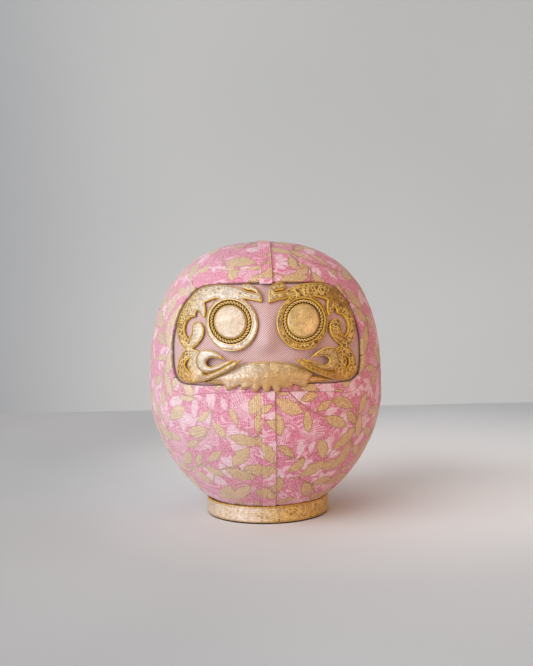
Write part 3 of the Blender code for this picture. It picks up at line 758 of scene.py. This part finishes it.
class Print:
    """The brocade's drawing, as signed distances that are read at a mesh's points."""

    def __init__(self, seed):
        self.random = np.random.default_rng(seed)
        self.gold = []
        self.stems = []
        self.pale = []
        self.draw_gold()
        self.draw_pale()

    def starts(self, count):
        """Places spread evenly over the egg, in a shuffled order, with a direction for each."""
        k = np.arange(count) + 0.5
        height = 1 - 2 * k / count
        turn = k * math.pi * (3 - math.sqrt(5))
        wide = np.sqrt(1 - height**2)
        spread = np.column_stack([wide * np.cos(turn), wide * np.sin(turn), height])
        spread += self.random.normal(0, 0.05, spread.shape)
        places = onto_egg(spread + (0, 0, EGG_CENTRE))
        aim = self.random.normal(0, 1, places.shape)
        heading = unit(level(aim, egg_normals(places)))
        order = self.random.permutation(count)
        return places[order], heading[order]

    def walk(self, places, heading, steps, stride, bend):
        """Paths over the egg: arrays of the places and headings at the start and after each step."""
        line, ways = [places], [heading]
        for _ in range(steps):
            places = onto_egg(places + heading * stride)
            normals = egg_normals(places)
            heading = level(heading, normals)
            heading = unit(heading + np.cross(normals, heading) * bend[:, None])
            line.append(places)
            ways.append(heading)
        return np.array(line), np.array(ways)

    def leaf_at(self, base, way, side, angle, length, width, away=0.0, fan=0.0):
        """A leaf that starts at a distance from a place, turned to one side of a direction."""
        normal = egg_normals(base[None])[0]
        aim = way * math.cos(angle) + np.cross(normal, way) * side * math.sin(angle)
        middle = onto_egg((base + aim * (away + length / 2))[None])[0]
        normal = egg_normals(middle[None])[0]
        aim = unit(level(aim, normal))
        curl = self.random.uniform(-0.12, 0.12)
        return Leaf(middle, aim, np.cross(normal, aim), normal, length, width, curl, fan)

    def clear(self, middle, others, room):
        return all(lengths(middle - other.middle) > room for other in others)

    def draw_gold(self):
        """Stems with leaves left and right in turn, and one at the end, wherever there is room."""
        leaf_steps = (3, 8, 13, 18, 23)
        uniform = self.random.uniform
        places, heading = self.starts(GOLD_STARTS)
        bend = uniform(-0.08, 0.08, len(places))
        line, ways = self.walk(places, heading, leaf_steps[-1] + 1, 1.0 * MM, bend)
        for k in range(len(places)):
            taken, last = [], 0
            side = self.random.choice([-1, 1])
            for step in leaf_steps:
                side = -side
                angle = 0.0 if step == leaf_steps[-1] else uniform(0.55, 1.0)
                length = uniform(9.5, 17) * MM
                width = length * uniform(0.36, 0.52)
                leaf = self.leaf_at(line[step, k], ways[step, k], side, angle, length, width, 1.0 * MM)
                among = self.clear(leaf.middle, self.gold, 8.6 * MM)
                if among and self.clear(leaf.middle, taken, 6.6 * MM):
                    taken.append(leaf)
                    last = step
            if len(taken) < 2:
                continue
            self.gold += taken
            thick = uniform(0.34, 0.52) * MM
            self.stems += [(line[j, k], line[j + 1, k], thick) for j in range(last)]
            for leaf in taken:
                stalk = leaf.middle - leaf.aim * leaf.length / 2
                near = line[np.argmin(lengths(line[:, k] - stalk)), k]
                self.stems.append((near, stalk + leaf.aim * 1.0 * MM, thick * 0.8))

    def draw_pale(self):
        """Petals, fans and fours of petals, wherever there is room."""
        uniform = self.random.uniform
        for place, way in zip(*self.starts(PALE_STARTS)):
            if not self.clear(place, self.pale, 6.0 * MM):
                continue
            kind = self.random.random()
            if kind < 0.62:
                length = uniform(7, 12.5) * MM
                width = length * uniform(0.42, 0.64)
                self.pale.append(self.leaf_at(place, way, 1, 0.0, length, width))
            elif kind < 0.86:
                length = uniform(10, 16) * MM
                width = length * uniform(0.55, 0.8)
                self.pale.append(self.leaf_at(place, way, 1, 0.0, length, width, fan=1.0))
            else:
                for angle in (-0.93, -0.31, 0.31, 0.93):
                    length = uniform(6, 8.5) * MM
                    self.pale.append(self.leaf_at(place, way, 1, angle, length, length * 0.42, 1.2 * MM))

    def near(self, points, middle, reach):
        """Which points are within reach of a place, and their offsets. The points are in order of x."""
        first, last = np.searchsorted(points[:, 0], (middle[0] - reach, middle[0] + reach))
        offset = points[first:last] - middle
        close = (np.abs(offset[:, 1]) < reach) & (np.abs(offset[:, 2]) < reach)
        return first + np.flatnonzero(close), offset[close]

    def leaf_field(self, points, leaf, power):
        """The points near a leaf, their distances inside it, and their places along and across it."""
        found, offset = self.near(points, leaf.middle, leaf.length / 2 + 1 * MM)
        length, width = leaf.length, leaf.width
        along = offset @ leaf.aim
        across = offset @ leaf.side - leaf.curl * along**2 / length * 2
        share = np.clip(np.abs(2 * along / length), 0, 1)
        skew = 1 + 0.25 * along / length
        lobes = 1 + 0.09 * np.sin(along / length * 19 + leaf.curl * 40) + 0.06 * np.sin(along / length * 43)
        half = width / 2 * (1 - share**2) ** power * skew * lobes
        slope = 1 / math.sqrt(1 + (2 * width / length) ** 2)
        field = np.minimum((half - np.abs(across)) * slope, length / 2 - np.abs(along) + 0.3 * MM) / MM
        same_side = np.abs(offset @ leaf.normal) < 4 * MM
        return found, np.where(same_side, field, FAR_OUTSIDE), along, across

    def read(self, points, turn=0.0):
        """The attributes of points on the egg, with the print turned about the doll's axis."""
        c, s = math.cos(turn), math.sin(turn)
        points = points @ np.array([(c, s, 0), (-s, c, 0), (0, 0, 1)])
        order = np.argsort(points[:, 0])
        points = points[order]
        pale = np.tile((FAR_OUTSIDE, 0.0, 0.0), (len(points), 1))
        gold = pale.copy()
        for leaf in self.pale:
            found, field, along, across = self.leaf_field(points, leaf, 0.75)
            # Veins spread from a point behind the foot, which is closer for a fan than for a petal
            meet, spread = (0.62, 0.75) if leaf.fan else (1.1, 1.0)
            vein = np.arctan2(across, along + leaf.length * meet) * leaf.length * spread / MM
            on_top = field > 0
            here = np.column_stack([field, vein, np.full(len(vein), leaf.fan)])
            pale[found[on_top]] = here[on_top]
            below = ~on_top & (pale[found, 0] < field)
            pale[found[below], 0] = field[below]
        for start, end, thick in self.stems:
            found, _ = self.near(points, (start + end) / 2, 3 * MM)
            run = end - start
            share = np.clip((points[found] - start) @ run / max(run @ run, 1e-12), 0, 1)
            field = (thick - lengths(points[found] - start - share[:, None] * run)) / MM
            better = field > gold[found, 0]
            gold[found[better], 0] = field[better]
        tones = np.random.default_rng(5).random(len(self.gold))
        for leaf, tone in zip(self.gold, tones):
            found, field, along, across = self.leaf_field(points, leaf, 1.0)
            slanted = (np.abs(across) * 1.2 + along) / MM
            better = field > gold[found, 0]
            here = np.column_stack([field, slanted, np.full(len(field), tone)])
            gold[found[better]] = here[better]
        back = np.argsort(order)
        return gold[back], pale[back]


# Cloth skin: columns that start at the edge of the face opening and run round to the back


def band_outline(seam):
    """A band between a seam and the edge of the opening, as in the part."""
    above = seam[-1][1] > EYE[1] / MM
    edge = [p for p in OPENING if p[0] < seam[0][0] and (p[1] > 115 if above else p[1] < 76)]
    return mirrored(seam[::-1] + edge[::-1] if above else edge[::-1] + seam)


def reach(ring, angles):
    """How far a ring reaches from the face's centre at each angle, in metres."""
    x, z = ring[:, 0] * MM, ring[:, 1] * MM - FACE_CENTRE
    spokes = np.unwrap(np.arctan2(z, x))
    far = np.hypot(x, z)
    result = np.zeros(len(angles))
    for k in range(len(ring)):
        after = (k + 1) % len(ring)
        a0, a1 = spokes[k], spokes[after]
        a1 = a0 + (a1 - a0 + math.pi) % TURN - math.pi
        low, high = min(a0, a1), max(a0, a1)
        shifted = low + (angles - low) % TURN
        hit = shifted <= high
        if high > low:
            share = (shifted[hit] - a0) / (a1 - a0)
            result[hit] = np.maximum(result[hit], far[k] + (far[after] - far[k]) * share)
    return result


def lip_height(distance, radius):
    """Height of an edge that rounds over, relative to the cloth."""
    inner = np.clip(radius - distance, 0, radius)
    return np.sqrt(radius**2 - inner**2) - radius


def threads(points):
    """Cloth coordinates in millimetres: round the doll and down it."""
    line = meridian(EGG_WAIST - EGG_LOWER + 1 * MM, EGG_TOP, 1 * MM)
    down = np.interp(-points[:, 2], -line[:, 1], np.arange(len(line)))
    round_it = np.arctan2(points[:, 0], -points[:, 1]) * EGG_RADIUS / MM
    return np.column_stack([round_it, down, np.zeros(len(points))])


def printed(points, heights, crease_shade, drawing, turn=0.0):
    """Raised points and attributes of brocade that lies on the egg at these heights."""
    gold, pale = drawing.read(points, turn)
    raised = 0.09 * smooth_step((gold[:, 0] + 0.2) / 0.5) + 0.04 * smooth_step(pale[:, 0] / 0.4)
    uneven = PUCKERS * (ripple(points, 110.0, 3.0) + 0.4 * ripple(points, 420.0, 7.0))
    flat = smooth_step(1 - crease_shade * 1.5)
    lifted = points + egg_normals(points) * (heights + flat * (raised + uneven) * MM)[:, None]
    return lifted, {"gold": gold, "pale": pale, "crease_shade": crease_shade, "thread": threads(points)}


def spread_out(spin, swing):
    """Points of the egg on rays from the face's centre, at angles about its axis and away from it."""
    spin = np.broadcast_to(spin, swing.shape)
    rays = [np.sin(swing) * np.cos(spin), -np.cos(swing), np.sin(swing) * np.sin(spin)]
    return onto_egg(np.stack(rays, -1).reshape(-1, 3) + (0, 0, FACE_CENTRE), FACE_CENTRE)


def skin_half(name, side, rings, material, drawing):
    """One half of the doll's cloth, from the opening and the seams round to the back."""
    columns, rows, samples = 310, 225, 120
    opening, brow, chin = rings
    right = np.linspace(-math.pi / 2, math.pi / 2, columns)
    angles = right if side > 0 else math.pi - right
    at_opening = reach(opening, angles)
    at_seam = np.maximum(reach(brow, angles), reach(chin, angles))
    start = np.maximum(at_opening, at_seam)
    seam_share = smooth_step((at_seam - at_opening) / (1.2 * MM))
    x, z = start * np.cos(angles), FACE_CENTRE + start * np.sin(angles)
    x[[0, -1]] = 0.0
    first = on_egg(x, z, 0.0)
    # Angle from the face's axis of each row, so that rows are even along the cloth
    spin = np.arctan2(first[:, 2] - FACE_CENTRE, first[:, 0])
    opened = np.arctan2(start, -first[:, 1])
    swing = opened + (math.pi - opened) * np.linspace(0, 1, samples)[:, None]
    far = travelled(spread_out(spin, swing).reshape(samples, columns, 3))
    lip = np.repeat(LIP_ROWS[:, None], columns, axis=1)
    even = np.linspace(0, 1, rows - len(LIP_ROWS) + 1)[1:, None]
    distance = np.vstack([lip, LIP_ROWS[-1] + even * (far[-1] - LIP_ROWS[-1])])
    swung = [np.interp(distance[:, k], far[:, k], swing[:, k]) for k in range(columns)]
    points = spread_out(spin, np.column_stack(swung))
    heights = lip_height(distance, LIP_RADIUS + (SEAM_RADIUS - LIP_RADIUS) * seam_share)
    deep = -(WALL_DEPTH + (SEAM_DEPTH - WALL_DEPTH) * seam_share)
    points = np.vstack([points[:columns], points])
    heights = np.vstack([deep, heights]).ravel()
    # Painted shade, deepest where the cloth turns down into the opening and the seams
    crease_shade = smooth_step((-heights / MM - 0.5) / 0.5)
    # Small gathers where the cloth is drawn in under the foot
    round_it = np.arctan2(points[:, 0], -points[:, 1])
    low = smooth_step((26 * MM - points[:, 2]) / (16 * MM))
    gather = np.sin(round_it * 46 + 2.2 * np.sin(round_it * 7)) * np.sin(round_it * 17 + 1)
    lifted, attributes = printed(points, heights + low * GATHERS * gather, crease_shade, drawing)
    faces = grid_faces(rows + 1, columns)
    faces = faces[points[faces][:, :, 2].min(axis=1) > SKIN_END]
    if side > 0:
        faces = faces[:, ::-1]
    used = np.unique(faces)
    index = np.full(len(points), -1)
    index[used] = np.arange(len(used))
    attributes = {key: numbers[used] for key, numbers in attributes.items()}
    return piece(name, lifted[used], index[faces], [material], attributes)


def band(name, opening, ring, middle, material, drawing, turn):
    """A band of cloth between the edge of the opening and a seam. middle is its own middle's angle."""
    rows, columns, span = 26, 900, 1.15
    angles = middle + np.linspace(-span, span, columns)
    inner, outer = reach(opening, angles), reach(ring, angles)
    there = outer > inner + 0.25 * MM
    angles, inner, outer = angles[there], inner[there], outer[there]
    share = (0.5 - 0.5 * np.cos(np.linspace(0, math.pi, rows)))[:, None]
    away = inner + (outer - inner) * share
    x, z = away * np.cos(angles), FACE_CENTRE + away * np.sin(angles)
    points = on_egg(x.ravel(), z.ravel(), 0.0).reshape(rows, len(angles), 3)
    far = travelled(points)
    heights = np.minimum(lip_height(far, LIP_RADIUS), lip_height(far[-1] - far, SEAM_RADIUS))
    points = np.concatenate([points[:1], points, points[-1:]]).reshape(-1, 3)
    walls = ((-WALL_DEPTH, -SEAM_DEPTH), (0, 0))
    heights = np.pad(heights, ((1, 1), (0, 0)), constant_values=walls).ravel() - BAND_SUNK
    # Painted shade, deepest where the band turns down at the opening and the seam
    crease_shade = smooth_step((-heights / MM - 0.55) / 0.5)
    lifted, attributes = printed(points, heights, crease_shade, drawing, turn)
    faces = grid_faces(rows + 2, len(angles))[:, ::-1]
    return piece(name, lifted, faces, [material], attributes)


def tape(name, line, material, drawing, turn):
    """A folded tape along (y, z) points in the middle plane, pressed thin at the foot."""
    # Across the tape: from the slit underneath, round one edge, over the top and back
    half = [(0.05, 0.06), (0.5, 0.05), (0.95, 0.04), (1.01, 0.2), (1.0, 0.62), (0.965, 0.9)]
    half += [(0.9, 1.03), (0.78, 1.05), (0.6, 0.98), (0.4, 0.95), (0.2, 0.94), (0.0, 0.94)]
    across, height = np.array([(-a, h) for a, h in half] + half[-2::-1]).T
    across = across * TAPE_WIDTH / 2
    far = travelled(line)
    sway = 0.14 * MM * np.sin(far / (19 * MM)) + 0.08 * MM * np.sin(far / (6.1 * MM) + 1)
    points = np.zeros((len(line), len(across), 3))
    points[..., 0] = across + sway[:, None]
    points[..., 1:] = line[:, None]
    points = onto_egg(points.reshape(-1, 3))
    place = np.stack([*np.broadcast_arrays(across / MM, far[:, None] / MM, 0.0)], -1).reshape(-1, 3)
    thin = 0.3 + 0.7 * smooth_step((line[:, 1] - TAPE_FOOT) / (2.6 * MM))
    heights = (thin[:, None] * height * TAPE).ravel()
    gold, pale = drawing.read(points, turn)
    uneven = 0.06 * MM * ripple(points, 300.0, 5.0) * (heights > 0.5 * TAPE)
    lifted = points + egg_normals(points) * (heights + uneven)[:, None]
    # Painted shade where the tape is low: along its edges and, more faintly, where it is pressed thin at the
    # foot
    crease_shade = smooth_step((0.5 - heights / TAPE) / 0.5) * 0.6
    attributes = {"gold": gold, "pale": pale, "crease_shade": crease_shade, "thread": place}
    strip = piece(name, lifted, grid_faces(len(line), len(across)), [material], attributes)


def cloth():
    material = brocade()
    drawing = Print(11)
    outlines = (mirrored(OPENING), band_outline(BROW_SEAM), band_outline(CHIN_SEAM))
    opening, brow, chin = rings = [drawn(outline, RING_STEP) for outline in outlines]
    for name, side in (("fabric_left", -1), ("fabric_right", 1)):
        half = skin_half(name, side, rings, material, drawing)
    upper = band("brow_band", opening, brow, math.pi / 2, material, drawing, 0.9)
    lower = band("chin_band", opening, chin, -math.pi / 2, material, drawing, -0.25)

    spacing = 0.6 * MM
    to_front = (-1, 1)
    front = meridian(TAPE_FOOT, FRONT_TAPE_TOP + 1 * MM, spacing)[::-1] * to_front
    tape("front_strip", front, material, drawing, 0.5)
    before = meridian(CROWN_TAPE_END, EGG_TOP, spacing)[::-1] * to_front
    behind = meridian(TAPE_FOOT, EGG_TOP, spacing)[1:]
    tape("crown_strip", np.vstack([before, behind]), material, drawing, 2.1)

    places, faces, rim = filled([grown(opening, TUCK / MM)], TWILL_MESH)
    x, z = places.T * MM
    # Painted shade: dark over each eye's hole, seen in the gaps round its disc and cord, and in a thin line
    # inside the opening's edge
    off_centre = np.hypot((np.abs(x) - EYE[0]) / EYE_HOLE[0], (z - EYE[1]) / EYE_HOLE[1])
    eye_gap_shade = 0.85 * smooth_step((1.03 - off_centre) / 0.04)
    edge_gap_shade = 0.8 * smooth_step((TUCK / MM + 0.9 - rim) / 0.65)
    attributes = {"thread": np.pad(places, ((0, 0), (0, 1))), "painted_gap_shade": np.maximum(eye_gap_shade, edge_gap_shade)}
    face = piece("face_cloth", on_face(x, z, 0.0), faces, [satin_twill()], attributes)


# Leather


def leather(name, outlines, base, thickness, looks, tool=None, relief=0.0, rounding=0.28, painted=0.2):
    """A cut-out with rounded edges and worked relief, over the face.

    base, thickness and relief are heights or functions that give them. tool gives the coordinates that the
    strokes follow. rounding, and the width that is painted along the edge, are in millimetres."""
    rounding *= MM
    rings = [drawn(outline, LEATHER_MESH * 0.8) for outline in outlines]
    places, triangles, rim = filled(rings, LEATHER_MESH, LEATHER_INSETS)
    x, z = places.T * MM
    flat = np.column_stack([x, z, np.zeros(len(x))])
    low, deep = values(base, x, z), values(thickness, x, z)
    wrinkle = (0.05 * ripple(flat, 900.0, 2.0) + 0.07 * ripple(flat, 260.0, 4.0)) * MM
    worked = values(relief, x, z, rim) * smooth_step(rim / 0.5) + wrinkle * smooth_step(rim / 0.4)
    points = on_face(x, z, low + deep + lip_height(rim * MM, rounding) + worked)

    # Walls: lines of points below the mesh's own border
    edges = np.concatenate([triangles[:, [0, 1]], triangles[:, [1, 2]], triangles[:, [2, 0]]])
    _, index, uses = np.unique(np.sort(edges, axis=1), axis=0, return_index=True, return_counts=True)
    border = edges[index[uses == 1]]
    around = np.unique(border)
    number = np.full(len(x), -1)
    number[around] = np.arange(len(around))
    start, end = number[border].T
    above, faces = around, [*triangles]
    for share in (0.62, 0.3, 0.0):
        below = len(points) + np.arange(len(around))
        height = low[around] + (deep[around] - rounding) * share
        points = np.vstack([points, on_face(x[around], z[around], height)])
        faces.extend(np.column_stack([above[end], above[start], below[start], below[end]]))
        above = below

    # Underside: a coarser mesh between the lowest lines
    under, under_faces, _ = filled(rings, UNDERSIDE_MESH)
    shared = len(np.concatenate(rings))
    inner_x, inner_z = under[shared:].T * MM
    lookup = np.concatenate([above[number[:shared]], len(points) + np.arange(len(inner_x))])
    points = np.vstack([points, on_face(inner_x, inner_z, values(base, inner_x, inner_z))])
    faces.extend(lookup[under_faces][:, ::-1])

    kinds = np.ones(len(faces))
    kinds[: len(triangles)] = rim[triangles].max(axis=1) < painted
    more = len(points) - len(x)
    strokes = (tool(x, z) if tool else flat) / MM
    attributes = {"rim": np.pad(rim, (0, more)), "tool": np.pad(strokes, ((0, more), (0, 0)))}
    piece(name, points, faces, looks, attributes, kinds)


def polar(centre, squash):
    """Coordinates round and away from a centre, for strokes that point at it."""

    def tool(x, z):
        dx, dz = x - centre[0], z - centre[1]
        round_it = np.arctan2(dz, dx) * 12 * MM * squash
        return np.column_stack([round_it, np.hypot(dx, dz), np.zeros(len(x))])

    return tool


def scroll_base(x, z):
    """The cheek's tail climbs over the moustache and the loop's arm. The rest lies on the face cloth."""
    x = np.abs(x)
    inwards = smooth_step((34 * MM - x) / (8 * MM))
    below_loop = smooth_step((79.4 * MM - z) / (1.6 * MM))
    past_loop = smooth_step((29 * MM - x) / (3 * MM)) * smooth_step((92 * MM - z) / (4 * MM))
    return GAP + TAIL_LIFT * inwards * np.maximum(below_loop, past_loop)


def moustache_base(x, z):
    """Its teeth hang over the chin band, and its top edge lies on the face cloth."""
    lowered = smooth_step((z - 77 * MM) / (6 * MM))
    return FACE_RECESS + GAP - (FACE_RECESS - 0.1 * MM) * lowered


def scroll_relief(x, z, rim):
    """A shallow groove inside the edge, and ribs along the tail."""
    groove = -0.1 * MM * np.exp(-(((rim - 1.2) / 0.3) ** 2))
    tail = smooth_step((30 * MM - np.abs(x)) / (6 * MM)) * smooth_step((88 * MM - z) / (3 * MM))
    ribs = 0.22 * MM * np.cos(rim * TURN / 0.95)
    return groove * (1 - tail) + ribs * tail


def loop_relief(x, z, rim):
    """Dished towards its edges."""
    return 0.16 * MM * smooth_step(rim / 1.8) - 0.08 * MM * np.exp(-(((rim - 0.9) / 0.25) ** 2))


def moustache_relief(x, z, rim):
    crown = 0.35 * MM * smooth_step(rim / 4.5)
    flat = np.column_stack([x, z * 1.6, np.zeros(len(x))])
    folds = 0.12 * MM * (1 - 2 * np.abs(ripple(flat, 620.0, 8.0)))
    return crown + folds * smooth_step(rim / 1.5)


def twisted_cord(name, centre):
    """Two plies wound round each other along the eye's ring."""
    turns, samples, sides = 19, 570, 9
    ply_radius, ply_offset = CORD_RADIUS * 0.52, CORD_RADIUS * 0.56
    angle = np.linspace(0, TURN, samples, endpoint=False)
    x = centre[0] + CORD_LINE[0] * np.cos(angle)
    z = centre[1] + CORD_LINE[1] * np.sin(angle)
    middle = on_face(x, z, GAP + CORD_RADIUS)
    out = unit(on_face(x, z, GAP + CORD_RADIUS + MM) - middle)
    across = unit(np.cross(ahead(middle), out))
    around = np.linspace(0, TURN, sides, endpoint=False)
    points, faces, tool = [], [], []
    for ply in range(2):
        wind = (angle * turns + ply * math.pi)[:, None]
        core = middle + ply_offset * (out * np.cos(wind) + across * np.sin(wind))
        up = unit(level(out, ahead(core)))
        aside = np.cross(ahead(core), up)
        spokes = up[:, None] * np.cos(around)[:, None] + aside[:, None] * np.sin(around)[:, None]
        tube = core[:, None] + ply_radius * spokes
        raised = np.sum((tube - middle[:, None]) * out[:, None], axis=-1) / CORD_RADIUS
        along = angle[:, None] * CORD_LINE[0] / MM
        tool.append(np.stack([*np.broadcast_arrays(along, around * ply_radius / MM, raised)], -1))
        points.append(tube)
        faces.append(grid_faces(samples, sides, closed=True, ring=True) + ply * samples * sides)
    points, tool = (np.array(grid).reshape(-1, 3) for grid in (points, tool))
    piece(name, points, np.concatenate(faces), [cord_look()], {"tool": tool})


def face_leather():
    paint = edge_paint()
    brow = foil("brow_foil", gloss=(0.3, 0.85))
    hook = foil("loop_foil", pale=0.35, wear=0.5, tooling=0.9, gloss=(0.5, 0.8))
    disc = foil("disc_foil", pale=0.85, wear=0.35, tooling=0.35, worms=0.15, gloss=(0.72, 0.15))
    hair = foil(
        "moustache_foil", pale=0.75, wear=0.45, tooling=0.3, worms=0.6,
        stretch=(0.6, 1, 1.2), gloss=(0.9, 0.9), amber=0.7, middle=-12.0,
    )
    leaf = foil("leaf_foil", wear=0.6, tooling=0.4)
    brow, hook, disc, hair, leaf = ([top, paint] for top in (brow, hook, disc, hair, leaf))
    for side, word, head in ((-1, "left", BROW_HEAD_LEFT), (1, "right", BROW_HEAD_RIGHT)):
        centre = (side * EYE[0], EYE[1])
        scroll = [head + BROW_BODY, CHEEK_SLIT, ellipse(EYE, EYE_HOLE)]
        loop = [CHEEK_LOOP]
        if side < 0:
            scroll, loop = ([flipped(outline) for outline in group] for group in (scroll, loop))
        radial = polar(centre, 1.4)
        leather("brow_scroll_" + word, scroll, scroll_base, LEATHER, brow, radial, scroll_relief)
        hole = polar((side * 26.5 * MM, 84.3 * MM), 0.7)
        leather("cheek_loop_" + word, loop, GAP + LEATHER + GAP, THIN_LEATHER, hook, hole, loop_relief)

        def dome(x, z):
            off_centre = ((x - centre[0]) / DISC[0]) ** 2 + ((z - centre[1]) / DISC[1]) ** 2
            return DISC_RIM + DISC_DOME * np.maximum(1 - off_centre, 0.0)

        leather("eye_disc_" + word, [ellipse(centre, DISC)], GAP, dome, disc, rounding=0.4, painted=0.0)
        twisted_cord("eye_cord_" + word, centre)
    leather("moustache", [MOUSTACHE], moustache_base, THIN_LEATHER, hair, relief=moustache_relief)
    leather("mouth_leaf", [MOUTH_LEAF], GAP, LEAF_LEATHER, leaf, rounding=0.35)


# Foot and inside


def foot():
    """The band: a ring turned from a profile with rolled edges, uneven and a little higher at one side."""
    inner, low, roll = BAND_RADIUS - BAND, SOLE + 0.05 * MM, 0.45 * MM
    corner = [(roll * (1 - math.cos(a)), roll * (1 - math.sin(a))) for a in np.linspace(0, math.pi / 2, 5)]
    profile = [(inner, low), (inner, 5 * MM)]
    profile += [(inner + x, BAND_TOP - y) for x, y in corner]
    profile += [(BAND_RADIUS - x, BAND_TOP - y) for x, y in corner[::-1]]
    painted_rows = len(profile) - 1
    profile += [(BAND_RADIUS, z) for z in np.linspace(BAND_TOP - 0.8 * MM, low + 0.8 * MM, 22)]
    profile += [(BAND_RADIUS - x, low + y) for x, y in corner]
    profile += [(inner, low)]
    angle = np.linspace(0, TURN, BAND_COLUMNS, endpoint=False)
    turn = np.tile(angle, len(profile))
    radius, height = np.repeat(profile, BAND_COLUMNS, axis=0).T
    points = np.column_stack([radius * np.sin(turn), -radius * np.cos(turn), height])
    high = smooth_step((height - 4 * MM) / (4 * MM))
    points[:, 2] += high * 0.22 * MM * ripple(points, 60.0, 9.0)
    points[:, 2] += high * 0.2 * MM * points[:, 0] / BAND_RADIUS
    swell = 0.12 * ripple(points, 90.0, 1.0) + 0.1 * ripple(points, 420.0, 6.0) - 0.15
    outside = radius > inner + 0.5 * BAND
    points += unit(points * (1, 1, 0)) * (swell * MM * outside)[:, None]
    faces = grid_faces(len(profile), BAND_COLUMNS, closed=True)
    tool = np.column_stack([turn * BAND_RADIUS, height, np.zeros(len(turn))]) / MM
    rim = np.minimum(np.abs(BAND_TOP - height), np.abs(height - SOLE)) / MM
    kinds = np.arange(len(faces)) < painted_rows * BAND_COLUMNS
    gilt = foil("band_foil", pale=0.8, wear=0.9, tooling=0.3, worms=0.3, gloss=(0.35, 0.92), amber=0.2)
    piece("foot_band", points, faces, [gilt, edge_paint()], {"tool": tool, "rim": rim}, kinds)


def inner_parts():
    """The CAD nodes that stay: what the skin hides, and the sole."""
    looks = {
        "body_shell": plain_look("pulp_look", "8E7F6A", "C9BDA6", 0.12, 0.95),
        "ballast_weight": plain_look("clay_look", "5A3B2A", "8A6247", 0.1, 0.98),
        "foot_core": plain_look("wood_look", "8A5F38", "B98C5A", 0.12, 0.8, (1, 6, 6)),
        "sole_pad": felt_look(),
    }
    for node, material in looks.items():
        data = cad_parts[node].data
        data.materials.clear()
        data.materials.append(material)


# Stage


def table_look():
    look = Look("table_cloth", {"Roughness": 0.9})
    place = look.place()
    # Painted light: a pale patch right of and behind the doll lightens its cast shadow on the table
    from_lit_patch = look.stretched(place, (1, 1, 1), (-110, -90, 0))
    away = look.node("VectorMath", {0: from_lit_patch}, operation="LENGTH").outputs["Value"]
    tint = look.layers(
        look.mix(look.step(look.noise(place, 0.004, 2.0), 0.35, 0.65), "C2C2C3", "CACACB"),
        # painted shade: the table darker towards the left
        (look.step(look.split(place)[0], -600, 250, 0.7, 0.0), "8E8B8A"),
        # painted light over the doll's cast shadow
        (away, 260, 40, 1.0, "F2F0EF"),
    )
    return look.set(base_color=tint, normal=look.bump(look.noise(place, 2.0, 2.0), 0.1, 0.3))


def wall_look():
    look = Look("wall_paint", {"Roughness": 0.95})
    place = look.place()
    tint = look.mix(look.step(look.noise(place, 0.0016, 2.0), 0.3, 0.7), "B9B8B7", "BFBEBC")
    shaded = look.step(look.split(place)[0], -520, -60, 0.75, 0.0)
    return look.set(base_color=look.mix(shaded, tint, "8F9195"))


def stage():
    """A table that ends behind the doll, and a wall further back."""
    table, wall = table_look(), wall_look()
    edge, drop = 0.335, -0.6
    sheets = {
        "floor": ([(-2, -2.5, 0), (2, -2.5, 0), (2, edge, 0), (-2, edge, 0)], table),
        "floor_front": ([(-2, edge, 0), (2, edge, 0), (2, edge, drop), (-2, edge, drop)], table),
        "backdrop": ([(-3, 1.3, -0.8), (3, 1.3, -0.8), (3, 1.3, 2.2), (-3, 1.3, 2.2)], wall),
    }
    for name, (corners, material) in sheets.items():
        mesh = bpy.data.meshes.new(name)
        mesh.from_pydata(corners, [], [(0, 1, 2, 3)])
        mesh.materials.append(material)
        placed(name, mesh)


def lamp(name, place, target, size, power, tint, spread=180):
    data = bpy.data.lights.new(name, "AREA")
    data.spread = math.radians(spread)
    data.shape = "RECTANGLE"
    data.size, data.size_y = size
    data.energy = power
    data.color = tint
    obj = placed(name, data)
    obj.location = place
    obj.rotation_euler = (Vector(target) - Vector(place)).to_track_quat("-Z", "Y").to_euler()


def lights():
    """A big window at the left, and a room that is cool on its side and warm on the other."""
    middle = (0, 0, 0.09)
    lamp("window", (-2.0, -1.7, 1.1), middle, (3.0, 2.8), 112, (0.94, 0.98, 1.0))
    lamp("overhead", (-0.5, 0.0, 1.9), middle, (2.2, 2.2), 7, (0.95, 0.98, 1.0))
    lamp("warm_fill", (0.6, -0.42, 0.2), middle, (0.3, 0.3), 0.16, (1.0, 0.55, 0.28), 50)
    lamp("wall_wash", (0.15, 0.75, -0.35), (0.15, 1.3, 0.1), (1.2, 0.2), 2.5, (1.0, 1.0, 1.0))
    world = bpy.data.worlds.new("room")
    world.use_nodes = True
    room = Nodes(world.node_tree)
    across = room.split(room.node("TexCoord", {}).outputs["Generated"])[0]
    share = room.step(across, -0.7, 0.8, interpolation_type="LINEAR")
    sky = room.mix(share, (0.62, 0.66, 0.70, 1.0), (0.56, 0.42, 0.35, 1.0))
    background = world.node_tree.nodes["Background"]
    background.inputs["Strength"].default_value = 0.6
    world.node_tree.links.new(sky, background.inputs["Color"])
    bpy.context.scene.world = world
    bpy.context.scene.view_settings.view_transform = "Standard"


def camera():
    """At the height of a seated viewer's eye, a little to the left of the doll's middle plane."""
    away, height = 652.5 * MM, 158 * MM
    side, heading, pitch, roll = (math.radians(angle) for angle in (1.3, 1.38, -5.73, -1.0))
    data = bpy.data.cameras.new("camera")
    data.lens = 68.9
    data.sensor_width = 36
    obj = placed("camera", data)
    obj.location = (-away * math.sin(side), -away * math.cos(side), height)
    flat = math.cos(pitch)
    forward = Vector((math.sin(heading) * flat, math.cos(heading) * flat, math.sin(pitch)))
    obj.rotation_mode = "QUATERNION"
    obj.rotation_quaternion = forward.to_track_quat("-Z", "Y") @ Quaternion((0, 0, 1), roll)
    bpy.context.scene.camera = obj


camera()
lights()
stage()
inner_parts()
cloth()
face_leather()
foot()
